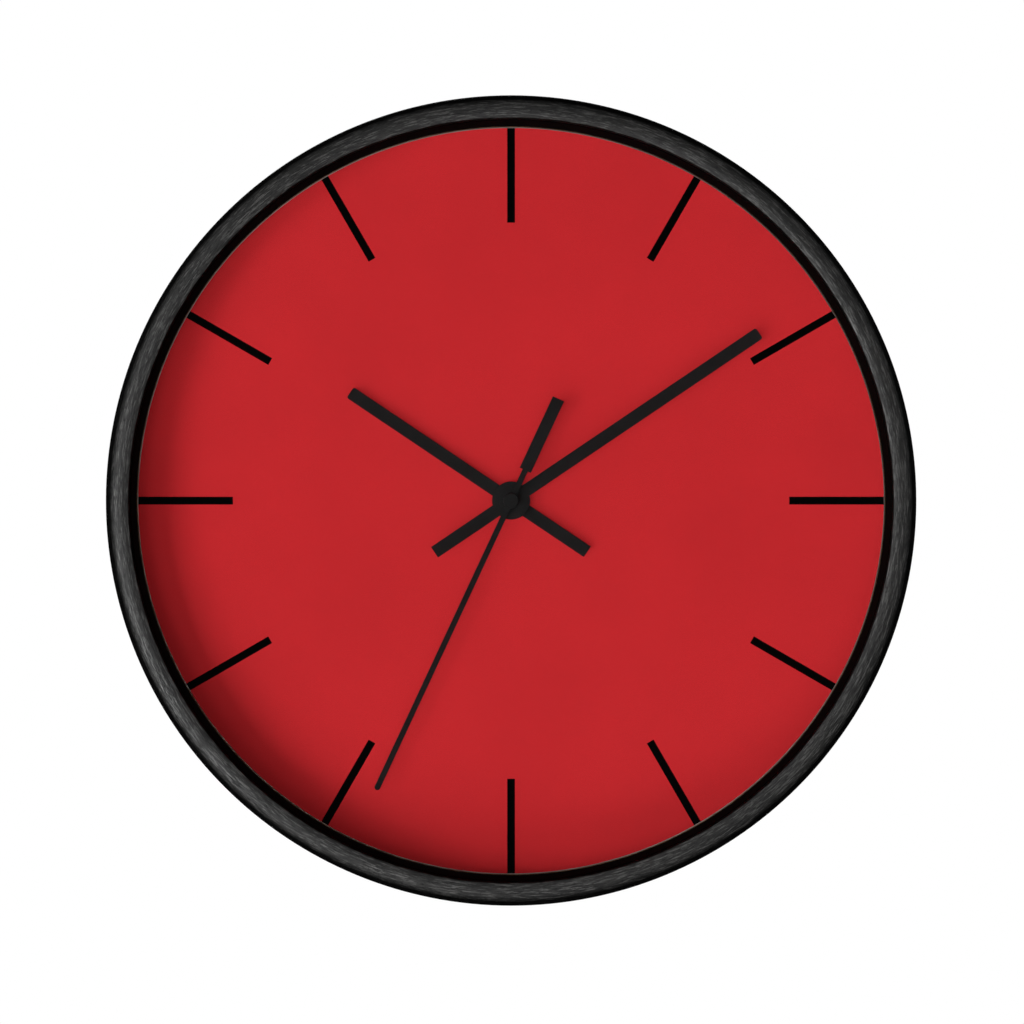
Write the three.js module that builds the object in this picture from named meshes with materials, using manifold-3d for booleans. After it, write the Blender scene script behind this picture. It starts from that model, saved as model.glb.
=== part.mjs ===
// A round quartz wall clock: turned wood ring, lens, dial, three hands and a battery movement.
//
// Millimetres. The clock faces -Y, +Z is up, and the wall is the plane y = 0. The origin is where the
// nail meets the wall. Shapes are drawn about the dial's axis in (x, z), and a depth is a distance in
// front of the wall, so a point at depth d has y = -d. The whole assembly is lowered at the end.
import * as THREE from "three";
import { mergeVertices } from "three/addons/utils/BufferGeometryUtils.js";
import Module from "manifold-3d";

const wasm = await Module();
wasm.setup();

// ---------------------------------------------------------------- driving dimensions

const NAIL_ABOVE_AXIS = 40;
const FULL_TURN = 2 * Math.PI;
const DEGREE = Math.PI / 180;
const FINE = 80; // sides of a circle as large as the dial
const MEDIUM = 24; // sides of a washer or bush
const COARSE = 12; // sides of an arbor or small boss
const BEYOND = 1; // how far a cutter runs past what it cuts
const ROOTED = 0.2; // how far a boss or wall runs into what it stands on
const EASED = 0.1; // radius of a corner that is only eased
const SLIVER = 0.02; // straight left between the two corners of a round end
const MERGE_DISTANCE = 1e-4;
const ARC_STEPS = 5;

const RING = {
  outer: 127,
  bore: 121.6,
  lip: 119.5,
  depth: 40,
  ledge: 36.2, // the lip's inner face, which the lens meets
  frontRound: 3.6,
  lipRound: 0.9,
  crown: 0.2, // fall of the front face from its high line to the lip
  rearChamfer: 0.5,
};
const LENS = { outer: 121.3, rear: 33.9, front: 35.9, chamfer: 0.3 };
const SPACER = { outer: 121.3, foot: 118.1, mouth: 119.4, rear: 23.2, front: 33.6 };
const DIAL = { outer: 117.8, bore: 5.3, rear: 23.2, front: 23.8, chamfer: 0.25 };
const BOARD = { outer: 121.3, rear: 19.9, front: 22.9, chamfer: 0.4 };
const BUSH_HOLE = 3.9; // in everything that is clamped on the bush

const POINT = { count: 6, inner: 112, outer: 125.3, width: 9, rear: 19.1, front: 19.6 };
const POINT_CLEARANCE = 0.3;

const HANGER = {
  width: 26,
  sheet: 0.8,
  clampFront: 18.5,
  bottom: -11,
  web: 28.4, // underside of the web that lies over the movement
  hookRear: 2,
  top: 46,
  topCorner: 4,
};
const NAIL_WINDOW = { width: 12, bottom: 31.2, top: 37, corner: 1.5 };
const NAIL_SLOT = { width: 5.2, bottom: 33.2, top: NAIL_ABOVE_AXIS };

const RUBBER_WASHER = { outer: 8, rear: 18.8, front: 19.6 };
const METAL_WASHER = { outer: 4.9, rear: 23.2, front: 23.5 };
const NUT = {
  outer: 4.9,
  bore: 3.8,
  rear: 23.8,
  front: 25.3,
  chamfer: 0.3,
  slotHalfWidth: 0.5,
  slotRear: 24.6,
};

const CASE = {
  half: 28,
  corner: 2.5,
  wall: 1.4,
  rear: 1.6,
  rearPlateFront: 2.8,
  split: 8.05,
  splitGap: 0.3,
  frontPlateRear: 16.3,
  front: 17.4,
};
const CASE_INSIDE = CASE.half - CASE.wall;
const BUSH = { outer: 3.6, bore: 2.7, front: 25.5, chamfer: 0.4 };
const MOTION_POST = { radius: 0.6, rear: 13 };

const PARTITION = { top: -11, bottom: -11.9, halfLength: 26.3, front: 15.9 };
const BAY = { halfLength: 26, top: PARTITION.bottom, bottom: -CASE_INSIDE };
const CONTACT_NOTCH = { inner: 25.4, rear: 4.2, front: 7 };

const CELL = {
  radius: 7.1,
  halfLength: 25.25,
  nubRadius: 2.75,
  nubLength: 1,
  shoulder: 0.8,
  z: -19.25,
  depth: 8.9,
};
const CONTACT = {
  outer: 26.3,
  sheet: 0.4,
  bottom: -25,
  padTop: -13.4,
  padRear: 4.4,
  padFront: 13.4,
  tailRear: 4.6,
  tailFront: 6.6,
  tailTop: 12,
  returnZ: -10.4, // the negative tail's run above the partition
  returnEndX: -22.4,
  returnTop: 10.2,
};

const MID_PLATE = { left: -24, right: 22, bottom: -10.8, top: 15.6, rear: 9.7, front: 10.7, corner: 1 };
const BRIDGE = { left: -14.5, right: 14, bottom: -5, top: 14, rear: 3.2, front: 4 };
// The bridge's edge round the knob's well, from its lower right corner up.
const BRIDGE_CUTBACK = [
  [4, BRIDGE.bottom],
  [6, 2],
  [9, 7],
  [BRIDGE.right, 8],
];

// The arbors, as seen from the front in the movement's plane.
const polar = ([x, z], distance, degrees) => [
  x + distance * Math.cos(degrees * DEGREE),
  z + distance * Math.sin(degrees * DEGREE),
];
const CENTRE = [0, 0];
const THIRD = polar(CENTRE, 10.2, 180);
const INTERMEDIATE = polar(CENTRE, 9, 80);
const ROTOR = polar(INTERMEDIATE, 8.75, 8);
const MOTION = polar(CENTRE, 7.5, 0);
const KNOB = polar(MOTION, 7.5, -4);

const KNOB_WELL = { outer: 6.4, inner: 5.2, floorRear: 4.3, floorFront: 5.1 };
const KNOB_GRIP = { ribs: 20, radius: 4.5, rib: 0.3, ribRoot: 0.3, ribTip: 0.15, rear: 0.6, front: 4 };
const KNOB_STEM = { radius: 0.9, front: 14.6, pivotRadius: 0.6, pivotFront: 16.1 };
const STEM_CLEARANCE = 0.3;
const PIVOT_BOSS = { outer: 1.7, bore: 0.85, rear: 15.2 };

const STATOR = {
  rear: 7,
  front: 7.9,
  hole: 3.5,
  halfGap: 0.4,
  reach: 6,
  below: 5,
  above: 5,
  arm: 3.5,
  neck: 3,
};
const COIL = { centreX: 0.25, halfLength: 11.25, z: 21, depth: 8.6 };
const BOBBIN = { half: 2.6, slot: 1.9, slotClearance: 0.3, flange: 4.2, flangeSheet: 1 };
const WINDING = { inner: 2.8, outer: 3.7, corner: 1.6, endGap: 0.2 };
const CORE = { left: -15, right: 16.2, halfWidth: 1.5, rear: 8.2, front: 9 };
const PCB = { left: -25.2, right: -12, bottom: 10.6, top: 26.2, corner: 0.5, rear: 5, front: 5.8 };
const CHIP = { at: [-18, 20], radius: 3, shoulder: 2.7, crown: 1.8, foot: 4.9, height: 1 };
const CRYSTAL = { radius: 1, left: -24, right: -18, z: 13.5, depth: 6.95 };

// Teeth, and the depths each toothed layer lies between.
const TEETH = {
  rotorPinion: { count: 10, rear: 4.1, front: 5.4 },
  intermediateWheel: { count: 60, rear: 4.4, front: 4.9 },
  intermediatePinion: { count: 10, rear: 4.7, front: 6.8 },
  secondWheel: { count: 50, rear: 5.9, front: 6.5 },
  secondPinion: { count: 8, rear: 7.6, front: 8.9 },
  thirdWheel: { count: 60, rear: 7.9, front: 8.6 },
  thirdPinion: { count: 8, rear: 11.2, front: 12.7 },
  centreWheel: { count: 64, rear: 11.6, front: 12.3 },
  cannonPinion: { count: 12, rear: 13, front: 14.6 },
  motionWheel: { count: 36, rear: 13.4, front: 14.2 },
  motionPinion: { count: 10, rear: 14, front: 15.9 },
  hourWheel: { count: 40, rear: 14.9, front: 15.7 },
  settingPinion: { count: 12, rear: 13.2, front: 14.4 },
};
const ARBOR = { radius: 0.45, rear: 3, front: 10.5 };
const THIRD_ARBOR_FRONT = 16;
const PIVOT_HOLE = 0.65;
const CENTRE_HOLE = { bridge: 0.7, midPlate: 0.75 };
const SECOND_HUB = { radius: 1.1, rear: 6.3, front: 7.8 };
const CENTRE_HUB = { radius: 2.4, rear: 12.2, front: 13.1 };
const POST_BORE = 0.75;
const PINION_BORE = 1.05;
const MAGNET = { outer: 3, bore: 0.65, rear: 6, front: 8.8 };

const MINUTE_PIPE = { outer: 1.45, bore: 0.75, rear: 11.3, front: 28.2 };
const HOUR_PIPE = { outer: 2.45, bore: 1.65, front: 26.7 };
const SECOND_ARBOR = { radius: 0.5, rear: 3, front: 29.8 };

const HOUR_HAND = { angle: 303.9, width: 4, tip: 61.1, tail: 28.9, corner: 0.7, disc: 5.5 };
const MINUTE_HAND = { angle: 55.98, width: 4, tip: 94.25, tail: 29.1, corner: 0.7, disc: 6 };
const SECOND_HAND = { angle: 205, width: 1.82, tip: 100.4, tail: 35.3, neck: 10.5, weight: 3.88, disc: 2.4 };
const HOUR_BLADE = { rear: 25.8, front: 26.3, bore: 2.6, collar: 3.3, collarFront: 26.9 };
const MINUTE_BLADE = { rear: 27.4, front: 27.9, bore: 1.6, collar: 2.2, collarFront: 28.4 };
const SECOND_BLADE = { rear: 29, front: 29.4, bore: 1.2 };
const CAP = {
  radius: 2.5,
  rear: 29.5,
  front: 30.4,
  chamfer: 0.3,
  tube: 1,
  bore: 0.65,
  boreFront: 30.1,
  tubeRear: 28.6,
};

// ---------------------------------------------------------------- materials

const material = (color, roughness, metalness = 0) =>
  new THREE.MeshStandardMaterial({ color, roughness, metalness });

const BLACK_WOOD = material("#2c2b2a", 0.5);
const CLEAR_ACRYLIC = new THREE.MeshStandardMaterial({
  color: "#f3f7f7",
  roughness: 0.05,
  transparent: true,
  opacity: 0.15,
});
const BLACK_CARD = material("#0b0b0b", 0.9);
const RED_DIAL = material("#bd282d", 0.7);
const HARDBOARD = material("#5b4330", 0.85);
const ZINC_STEEL = material("#a9abac", 0.35, 0.9);
const SPRING_STEEL = material("#c2c0b8", 0.3, 0.9);
const BLACK_RUBBER = material("#161616", 0.9);
const BRASS = material("#c4a052", 0.3, 0.9);
const BLACK_PLASTIC = material("#1b1b1d", 0.55);
const GREY_PLASTIC = material("#8d8f8e", 0.5);
const WHITE_ACETAL = material("#e9e6dc", 0.4);
const SOFT_IRON = material("#7d7c79", 0.45, 0.9);
const MAGNET_FERRITE = material("#3a3a3d", 0.5, 0.3);
const ENAMELLED_COPPER = material("#a4562a", 0.35, 0.7);
const GREEN_LAMINATE = material("#2f6b3c", 0.5);
const BLACK_EPOXY = material("#101010", 0.35);
const CELL_SLEEVE = material("#3b4450", 0.35, 0.4);
const BLACK_ALUMINIUM = material("#212121", 0.6, 0.3);

// ---------------------------------------------------------------- solids

// A closed geometry as a solid that can be joined and cut.
function solid(geometry) {
  const bare = new THREE.BufferGeometry();
  const source = geometry.index ? geometry.toNonIndexed() : geometry;
  bare.setAttribute("position", source.getAttribute("position"));
  const merged = mergeVertices(bare, MERGE_DISTANCE);
  return new wasm.Manifold(
    new wasm.Mesh({
      numProp: 3,
      vertProperties: merged.attributes.position.array,
      triVerts: new Uint32Array(merged.index.array),
    }),
  );
}

const joined = (first, ...others) => others.reduce((whole, next) => whole.add(next), first);
const without = (first, ...others) => others.reduce((whole, next) => whole.subtract(next), first);

function signedArea(points) {
  return points.reduce((sum, [x, y], i) => {
    const [nextX, nextY] = points[(i + 1) % points.length];
    return sum + (x * nextY - nextX * y) / 2;
  }, 0);
}

// A profile of [radius, depth] points, turned about the dial's axis or about one parallel to it.
function turned(profile, sides, [x, z] = CENTRE) {
  const ordered = signedArea(profile) > 0 ? profile : [...profile].reverse();
  const points = ordered.map(([r, d]) => new THREE.Vector2(r, d));
  const onAxis = profile.some(([r]) => r === 0);
  if (onAxis) {
    const start = ordered.findIndex(([r], i) => r === 0 && ordered.at(i - 1)[0] === 0);
    points.push(...points.splice(0, start));
  } else {
    points.push(points[0].clone());
  }
  const geometry = new THREE.LatheGeometry(points, sides);
  geometry.rotateX(Math.PI);
  geometry.translate(x, 0, z);
  return solid(geometry);
}

// A rod or disc about an axis at [x, z].
const rod = (radius, rear, front, sides = COARSE, at = CENTRE) =>
  turned([[0, rear], [radius, rear], [radius, front], [0, front]], sides, at);

const tube = (outer, bore, rear, front, sides = MEDIUM, at = CENTRE) =>
  turned([[bore, rear], [outer, rear], [outer, front], [bore, front]], sides, at);

// A disc or ring whose outer edges are chamfered.
function chamferedRing({ outer, rear, front, chamfer }, bore, sides) {
  return turned(
    [
      [bore, rear],
      [outer - chamfer, rear],
      [outer, rear + chamfer],
      [outer, front - chamfer],
      [outer - chamfer, front],
      [bore, front],
    ],
    sides,
  );
}

// A THREE.Shape drawn in (x, z), given thickness from one depth to another.
function plate(shape, rear, front) {
  const geometry = new THREE.ExtrudeGeometry(shape, {
    depth: front - rear,
    bevelEnabled: false,
    curveSegments: ARC_STEPS,
  });
  geometry.translate(0, 0, rear);
  geometry.rotateX(Math.PI / 2);
  return solid(geometry);
}

function outline(points) {
  return new THREE.Shape(points.map(([x, z]) => new THREE.Vector2(x, z)));
}

const block = (left, right, bottom, top, rear, front) =>
  plate(outline([[left, bottom], [right, bottom], [right, top], [left, top]]), rear, front);

// A rectangle with rounded corners. `radii` are those at bottom left, bottom right, top right, top left.
function roundedOutline(left, right, bottom, top, radii) {
  const corners = [
    [left, bottom, 180],
    [right, bottom, 270],
    [right, top, 0],
    [left, top, 90],
  ];
  const shape = new THREE.Shape();
  corners.forEach(([x, z, from], i) => {
    const r = radii[i];
    const inX = x === left ? x + r : x - r;
    const inZ = z === bottom ? z + r : z - r;
    shape.absarc(inX, inZ, r, from * DEGREE, (from + 90) * DEGREE, false);
  });
  return shape;
}

const roundedSquare = (half, radius) =>
  roundedOutline(-half, half, -half, half, [radius, radius, radius, radius]);

// Points of an arc from one angle to another, in degrees, as [radius, depth].
function arc(centreR, centreD, radius, from, to, steps) {
  return Array.from({ length: steps + 1 }, (_, i) => {
    const angle = (from + ((to - from) * i) / steps) * DEGREE;
    return [centreR + radius * Math.cos(angle), centreD + radius * Math.sin(angle)];
  });
}

// A solid with round holes cut through it. Each hole is its [x, z] and its radius.
function drilled(body, holes, rear, front) {
  const cutters = holes.map(([at, radius]) => rod(radius, rear - BEYOND, front + BEYOND, COARSE, at));
  return without(body, ...cutters);
}

const clock = new THREE.Group();
clock.name = "wall_clock";
const assembly = new THREE.Group();
assembly.position.z = -NAIL_ABOVE_AXIS;
clock.add(assembly);

function addPiece(name, body, look) {
  const { numProp, numVert, vertProperties, triVerts } = body.getMesh();
  const positions = new Float32Array(numVert * 3);
  for (let i = 0; i < numVert; i++) {
    positions.set(vertProperties.subarray(i * numProp, i * numProp + 3), i * 3);
  }
  const geometry = new THREE.BufferGeometry();
  geometry.setAttribute("position", new THREE.BufferAttribute(positions, 3));
  geometry.setIndex(new THREE.BufferAttribute(triVerts, 1));
  geometry.computeVertexNormals();
  const mesh = new THREE.Mesh(geometry, look);
  mesh.name = name;
  assembly.add(mesh);
}

// ---------------------------------------------------------------- ring, lens, dial and board

// A retaining point, or with a clearance the slot it is pushed into.
function retainingPoint(index, clearance = 0) {
  const half = POINT.width / 2 + clearance;
  const slot = plate(
    outline([
      [POINT.inner, -half],
      [POINT.outer + clearance, -half],
      [POINT.outer + clearance, half],
      [POINT.inner, half],
    ]),
    POINT.rear - clearance,
    POINT.front + clearance,
  );
  return slot.rotate([0, (360 * (index + 0.5)) / POINT.count, 0]);
}

function woodFrame() {
  const { outer, bore, lip, depth, ledge, frontRound, lipRound, crown, rearChamfer } = RING;
  const ring = turned(
    [
      [bore, rearChamfer],
      [bore + rearChamfer, 0],
      [outer - rearChamfer, 0],
      [outer, rearChamfer],
      ...arc(outer - frontRound, depth - frontRound, frontRound, 0, 90, ARC_STEPS),
      ...arc(lip + lipRound, depth - crown - lipRound, lipRound, 90, 180, 2),
      [lip, ledge],
      [bore, ledge],
    ],
    FINE,
  );
  const slots = Array.from({ length: POINT.count }, (_, i) => retainingPoint(i, POINT_CLEARANCE));
  return without(ring, ...slots);
}

function lens() {
  const { outer, rear, front, chamfer } = LENS;
  return turned(
    [
      [0, rear],
      [outer - chamfer, rear],
      [outer, rear + chamfer],
      [outer, front - chamfer],
      [outer - chamfer, front],
      [0, front],
    ],
    FINE,
  );
}

function spacerRing() {
  const { outer, foot, mouth, rear, front } = SPACER;
  return turned([[foot, rear], [outer, rear], [outer, front], [mouth, front]], FINE);
}

addPiece("wood_frame", woodFrame(), BLACK_WOOD);
addPiece("lens", lens(), CLEAR_ACRYLIC);
addPiece("spacer_ring", spacerRing(), BLACK_CARD);
addPiece("dial", chamferedRing(DIAL, DIAL.bore, FINE), RED_DIAL);
addPiece("back_board", chamferedRing(BOARD, BUSH_HOLE, FINE), HARDBOARD);
for (let i = 0; i < POINT.count; i++) {
  addPiece(`retaining_point_${i + 1}`, retainingPoint(i), ZINC_STEEL);
}

// ---------------------------------------------------------------- hanger and clamping pieces

// One strip bent twice: clamped on the bush, back over the movement, then up behind the board.
function hangerBracket() {
  const { width, sheet, clampFront, bottom, web, hookRear, top, topCorner } = HANGER;
  const half = width / 2;
  const clampRear = clampFront - sheet;
  const clamp = block(-half, half, bottom, web + sheet, clampRear, clampFront);
  const shelf = block(-half, half, web, web + sheet, hookRear, clampFront);
  const hook = plate(
    roundedOutline(-half, half, web, top, [EASED, EASED, topCorner, topCorner]),
    hookRear,
    hookRear + sheet,
  );
  const throughHook = (left, right, low, high, radii) =>
    plate(roundedOutline(left, right, low, high, radii), hookRear - BEYOND, hookRear + sheet + BEYOND);
  const windowHalf = NAIL_WINDOW.width / 2;
  const window = throughHook(
    -windowHalf,
    windowHalf,
    NAIL_WINDOW.bottom,
    NAIL_WINDOW.top,
    Array(4).fill(NAIL_WINDOW.corner),
  );
  const slotHalf = NAIL_SLOT.width / 2;
  const slotRound = slotHalf - SLIVER;
  const slotRadii = [EASED, EASED, slotRound, slotRound];
  const slot = throughHook(-slotHalf, slotHalf, NAIL_SLOT.bottom, NAIL_SLOT.top, slotRadii);
  const bushHole = rod(BUSH_HOLE, clampRear - BEYOND, clampFront + BEYOND, MEDIUM);
  return without(joined(clamp, shelf, hook), window, slot, bushHole);
}

// A thin round nut that lies in the dial's hole, with two slots across its face for a spanner.
function roundNut() {
  const { outer, bore, front, slotHalfWidth, slotRear } = NUT;
  const ring = chamferedRing(NUT, bore, MEDIUM);
  const slots = block(
    -outer - BEYOND,
    outer + BEYOND,
    -slotHalfWidth,
    slotHalfWidth,
    slotRear,
    front + BEYOND,
  );
  return ring.subtract(slots);
}

addPiece("hanger_bracket", hangerBracket(), ZINC_STEEL);
addPiece(
  "rubber_washer",
  tube(RUBBER_WASHER.outer, BUSH_HOLE, RUBBER_WASHER.rear, RUBBER_WASHER.front),
  BLACK_RUBBER,
);
addPiece(
  "metal_washer",
  tube(METAL_WASHER.outer, BUSH_HOLE, METAL_WASHER.rear, METAL_WASHER.front),
  BRASS,
);
addPiece("round_nut", roundNut(), BRASS);

// ---------------------------------------------------------------- movement case

const CASE_OUTLINE = () => roundedSquare(CASE.half, CASE.corner);
const CASE_HOLLOW = () => roundedSquare(CASE_INSIDE, CASE.corner - CASE.wall);

function movementFrontCase() {
  const skirtRear = CASE.split + CASE.splitGap / 2;
  const rootedFront = CASE.frontPlateRear + ROOTED;
  const tray = plate(CASE_OUTLINE(), skirtRear, CASE.front).subtract(
    plate(CASE_HOLLOW(), skirtRear - BEYOND, CASE.frontPlateRear),
  );
  const post = rod(MOTION_POST.radius, MOTION_POST.rear, rootedFront, COARSE, MOTION);
  const bosses = [THIRD, KNOB].map((at) =>
    rod(PIVOT_BOSS.outer, PIVOT_BOSS.rear, rootedFront, COARSE, at).subtract(
      rod(PIVOT_BOSS.bore, PIVOT_BOSS.rear - BEYOND, CASE.frontPlateRear, COARSE, at),
    ),
  );
  const bush = turned(
    [
      [0, rootedFront],
      [BUSH.outer, rootedFront],
      [BUSH.outer, BUSH.front - BUSH.chamfer],
      [BUSH.outer - BUSH.chamfer, BUSH.front],
      [0, BUSH.front],
    ],
    MEDIUM,
  );
  const bore = rod(BUSH.bore, CASE.frontPlateRear - BEYOND, BUSH.front + BEYOND, MEDIUM);
  return joined(tray, post, bush, ...bosses).subtract(bore);
}

function movementRearCover() {
  const skirtFront = CASE.split - CASE.splitGap / 2;
  const rooted = CASE.rearPlateFront - ROOTED;
  const tray = plate(CASE_OUTLINE(), CASE.rear, skirtFront).subtract(
    plate(CASE_HOLLOW(), CASE.rearPlateFront, skirtFront + BEYOND),
  );
  const bay = block(
    -BAY.halfLength,
    BAY.halfLength,
    BAY.bottom,
    BAY.top,
    CASE.rear - BEYOND,
    CASE.rearPlateFront + BEYOND,
  );
  const { halfLength, bottom, top, front } = PARTITION;
  const wall = block(-halfLength, halfLength, bottom, top, rooted, front);
  const wallEnd = CASE_INSIDE + ROOTED;
  const wallRoot = block(-wallEnd, wallEnd, bottom, top, rooted, skirtFront);
  const notches = [-1, 1].map((side) => {
    const ends = [side * CONTACT_NOTCH.inner, side * CASE_INSIDE];
    return block(
      Math.min(...ends),
      Math.max(...ends),
      bottom - BEYOND,
      top + BEYOND,
      CONTACT_NOTCH.rear,
      CONTACT_NOTCH.front,
    );
  });
  const well = rod(KNOB_WELL.outer, CASE.rear + ROOTED, KNOB_WELL.floorFront, MEDIUM, KNOB);
  const wellBore = rod(KNOB_WELL.inner, CASE.rear - BEYOND, KNOB_WELL.floorRear, MEDIUM, KNOB);
  const stemRadius = KNOB_STEM.radius + STEM_CLEARANCE;
  const stemHole = rod(stemRadius, CASE.rear, KNOB_WELL.floorFront + BEYOND, COARSE, KNOB);
  const shell = joined(tray, wall, wallRoot, well);
  return without(shell, bay, ...notches, wellBore, stemHole);
}

const WHEEL_HOLES = [THIRD, INTERMEDIATE, ROTOR].map((at) => [at, PIVOT_HOLE]);

function midPlate() {
  const { left, right, bottom, top, rear, front, corner } = MID_PLATE;
  const blank = plate(roundedOutline(left, right, bottom, top, Array(4).fill(corner)), rear, front);
  const stemHole = [KNOB, KNOB_STEM.radius + STEM_CLEARANCE];
  return drilled(blank, [[CENTRE, CENTRE_HOLE.midPlate], ...WHEEL_HOLES, stemHole], rear, front);
}

// The rear plate of the train, cut back around the knob's well.
function trainBridge() {
  const { left, right, bottom, top, rear, front } = BRIDGE;
  const blank = plate(
    outline([[left, bottom], ...BRIDGE_CUTBACK, [right, top], [left, top]]),
    rear,
    front,
  );
  return drilled(blank, [[CENTRE, CENTRE_HOLE.bridge], ...WHEEL_HOLES], rear, front);
}

addPiece("movement_front_case", movementFrontCase(), BLACK_PLASTIC);
addPiece("movement_rear_cover", movementRearCover(), BLACK_PLASTIC);
addPiece("mid_plate", midPlate(), GREY_PLASTIC);
addPiece("train_bridge", trainBridge(), GREY_PLASTIC);

// ---------------------------------------------------------------- gears

// Each pair shares a centre distance, which sets its module. A tooth is a trapezoid: its width at the
// root and at the tip are shares of the tooth pitch, with running clearance all round.
const TOOTH = { addendum: 0.85, dedendum: 1.2, rootShare: 0.27, tipShare: 0.13 };

const bearing = (from, to) => Math.atan2(to[1] - from[1], to[0] - from[0]);
const distance = (a, b) => Math.hypot(b[0] - a[0], b[1] - a[1]);

// Two gears that turn together: the first has a tooth towards the second, which has a gap there. Each
// keeps its layer, its place [x, z] and its phase, the angle of its first tooth.
function meshedPair(layerA, atA, layerB, atB) {
  const module = (2 * distance(atA, atB)) / (layerA.count + layerB.count);
  const first = { layer: layerA, at: atA, module, phase: bearing(atA, atB) };
  return [first, meshedWith(first, layerB, atB)];
}

// A gear with a gap wherever its mate, which exists already, has a tooth on the line between them.
function meshedWith(mate, layer, at) {
  const line = bearing(mate.at, at);
  const mateTooth = (mate.layer.count * (mate.phase - line)) / FULL_TURN;
  const phase = line + Math.PI - (FULL_TURN / layer.count) * (0.5 + mateTooth);
  return { layer, at, module: mate.module, phase };
}

function toothedOutline({ layer, module, phase }) {
  const pitchRadius = (layer.count * module) / 2;
  const root = pitchRadius - TOOTH.dedendum * module;
  const tip = pitchRadius + TOOTH.addendum * module;
  const corners = [
    [root, -TOOTH.rootShare],
    [tip, -TOOTH.tipShare],
    [tip, TOOTH.tipShare],
    [root, TOOTH.rootShare],
  ];
  const step = FULL_TURN / layer.count;
  const points = [];
  for (let k = 0; k < layer.count; k++) {
    for (const [radius, share] of corners) {
      points.push(polar(CENTRE, radius, (phase + (k + share) * step) / DEGREE));
    }
  }
  return outline(points);
}

function toothed(wheel) {
  const [x, z] = wheel.at;
  return plate(toothedOutline(wheel), wheel.layer.rear, wheel.layer.front).translate([x, 0, z]);
}

const [rotorPinion, intermediateWheel] = meshedPair(
  TEETH.rotorPinion,
  ROTOR,
  TEETH.intermediateWheel,
  INTERMEDIATE,
);
const [intermediatePinion, secondWheel] = meshedPair(
  TEETH.intermediatePinion,
  INTERMEDIATE,
  TEETH.secondWheel,
  CENTRE,
);
const [secondPinion, thirdWheel] = meshedPair(TEETH.secondPinion, CENTRE, TEETH.thirdWheel, THIRD);
const [thirdPinion, centreWheel] = meshedPair(TEETH.thirdPinion, THIRD, TEETH.centreWheel, CENTRE);
const [cannonPinion, motionWheel] = meshedPair(TEETH.cannonPinion, CENTRE, TEETH.motionWheel, MOTION);
const [motionPinion, hourWheel] = meshedPair(TEETH.motionPinion, MOTION, TEETH.hourWheel, CENTRE);
const settingPinion = meshedWith(motionWheel, TEETH.settingPinion, KNOB);

const hub = ({ radius, rear, front }) => rod(radius, rear, front);

// A through hole along an arbor's axis.
const bored = (body, radius, rear, front, at = CENTRE, sides = COARSE) =>
  body.subtract(rod(radius, rear - BEYOND, front + BEYOND, sides, at));

function addTrain() {
  const arborAt = (at, front = ARBOR.front) => rod(ARBOR.radius, ARBOR.rear, front, COARSE, at);
  addPiece("rotor_pinion", joined(arborAt(ROTOR), toothed(rotorPinion)), WHITE_ACETAL);
  const magnet = tube(MAGNET.outer, MAGNET.bore, MAGNET.rear, MAGNET.front, MEDIUM, ROTOR);
  addPiece("rotor_magnet", magnet, MAGNET_FERRITE);
  addPiece(
    "intermediate_wheel",
    joined(arborAt(INTERMEDIATE), toothed(intermediateWheel), toothed(intermediatePinion)),
    WHITE_ACETAL,
  );
  addPiece(
    "second_wheel",
    joined(hub(SECOND_ARBOR), toothed(secondWheel), hub(SECOND_HUB), toothed(secondPinion)),
    WHITE_ACETAL,
  );
  addPiece(
    "third_wheel",
    joined(arborAt(THIRD, THIRD_ARBOR_FRONT), toothed(thirdWheel), toothed(thirdPinion)),
    WHITE_ACETAL,
  );
}

function addMotionWork() {
  const { outer, bore, rear, front } = MINUTE_PIPE;
  const minutePipe = rod(outer, rear, front);
  const centre = joined(minutePipe, toothed(centreWheel), hub(CENTRE_HUB), toothed(cannonPinion));
  addPiece("centre_wheel", bored(centre, bore, rear, front), WHITE_ACETAL);

  const motion = joined(toothed(motionWheel), toothed(motionPinion));
  addPiece(
    "motion_wheel",
    bored(motion, POST_BORE, TEETH.motionWheel.rear, TEETH.motionPinion.front, MOTION),
    WHITE_ACETAL,
  );

  const hourPipe = rod(HOUR_PIPE.outer, hourWheel.layer.rear, HOUR_PIPE.front, MEDIUM);
  const hour = joined(hourPipe, toothed(hourWheel));
  addPiece(
    "hour_wheel",
    bored(hour, HOUR_PIPE.bore, hourWheel.layer.rear, HOUR_PIPE.front, CENTRE, MEDIUM),
    WHITE_ACETAL,
  );
}

addTrain();
addMotionWork();

// A ribbed grip outside the cover, with its stem and pivot through the movement.
function settingKnob() {
  const { ribs, radius, rib, ribRoot, ribTip, rear, front } = KNOB_GRIP;
  const valley = radius - rib;
  const oneRib = [
    [-ribRoot, valley],
    [-ribTip, radius],
    [ribTip, radius],
    [ribRoot, valley],
  ];
  const corners = [];
  for (let k = 0; k < ribs; k++) {
    oneRib.forEach(([share, r]) => corners.push(polar(KNOB, r, (360 * (k + share)) / ribs)));
  }
  return joined(
    plate(outline(corners), rear, front),
    rod(KNOB_STEM.radius, front - ROOTED, KNOB_STEM.front, COARSE, KNOB),
    rod(KNOB_STEM.pivotRadius, KNOB_STEM.front - ROOTED, KNOB_STEM.pivotFront, COARSE, KNOB),
  );
}

function pinionOnStem() {
  const { rear, front } = settingPinion.layer;
  return bored(toothed(settingPinion), PINION_BORE, rear, front, KNOB);
}

addPiece("setting_knob", settingKnob(), GREY_PLASTIC);
addPiece("setting_pinion", pinionOnStem(), WHITE_ACETAL);

// ---------------------------------------------------------------- step motor

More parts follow.
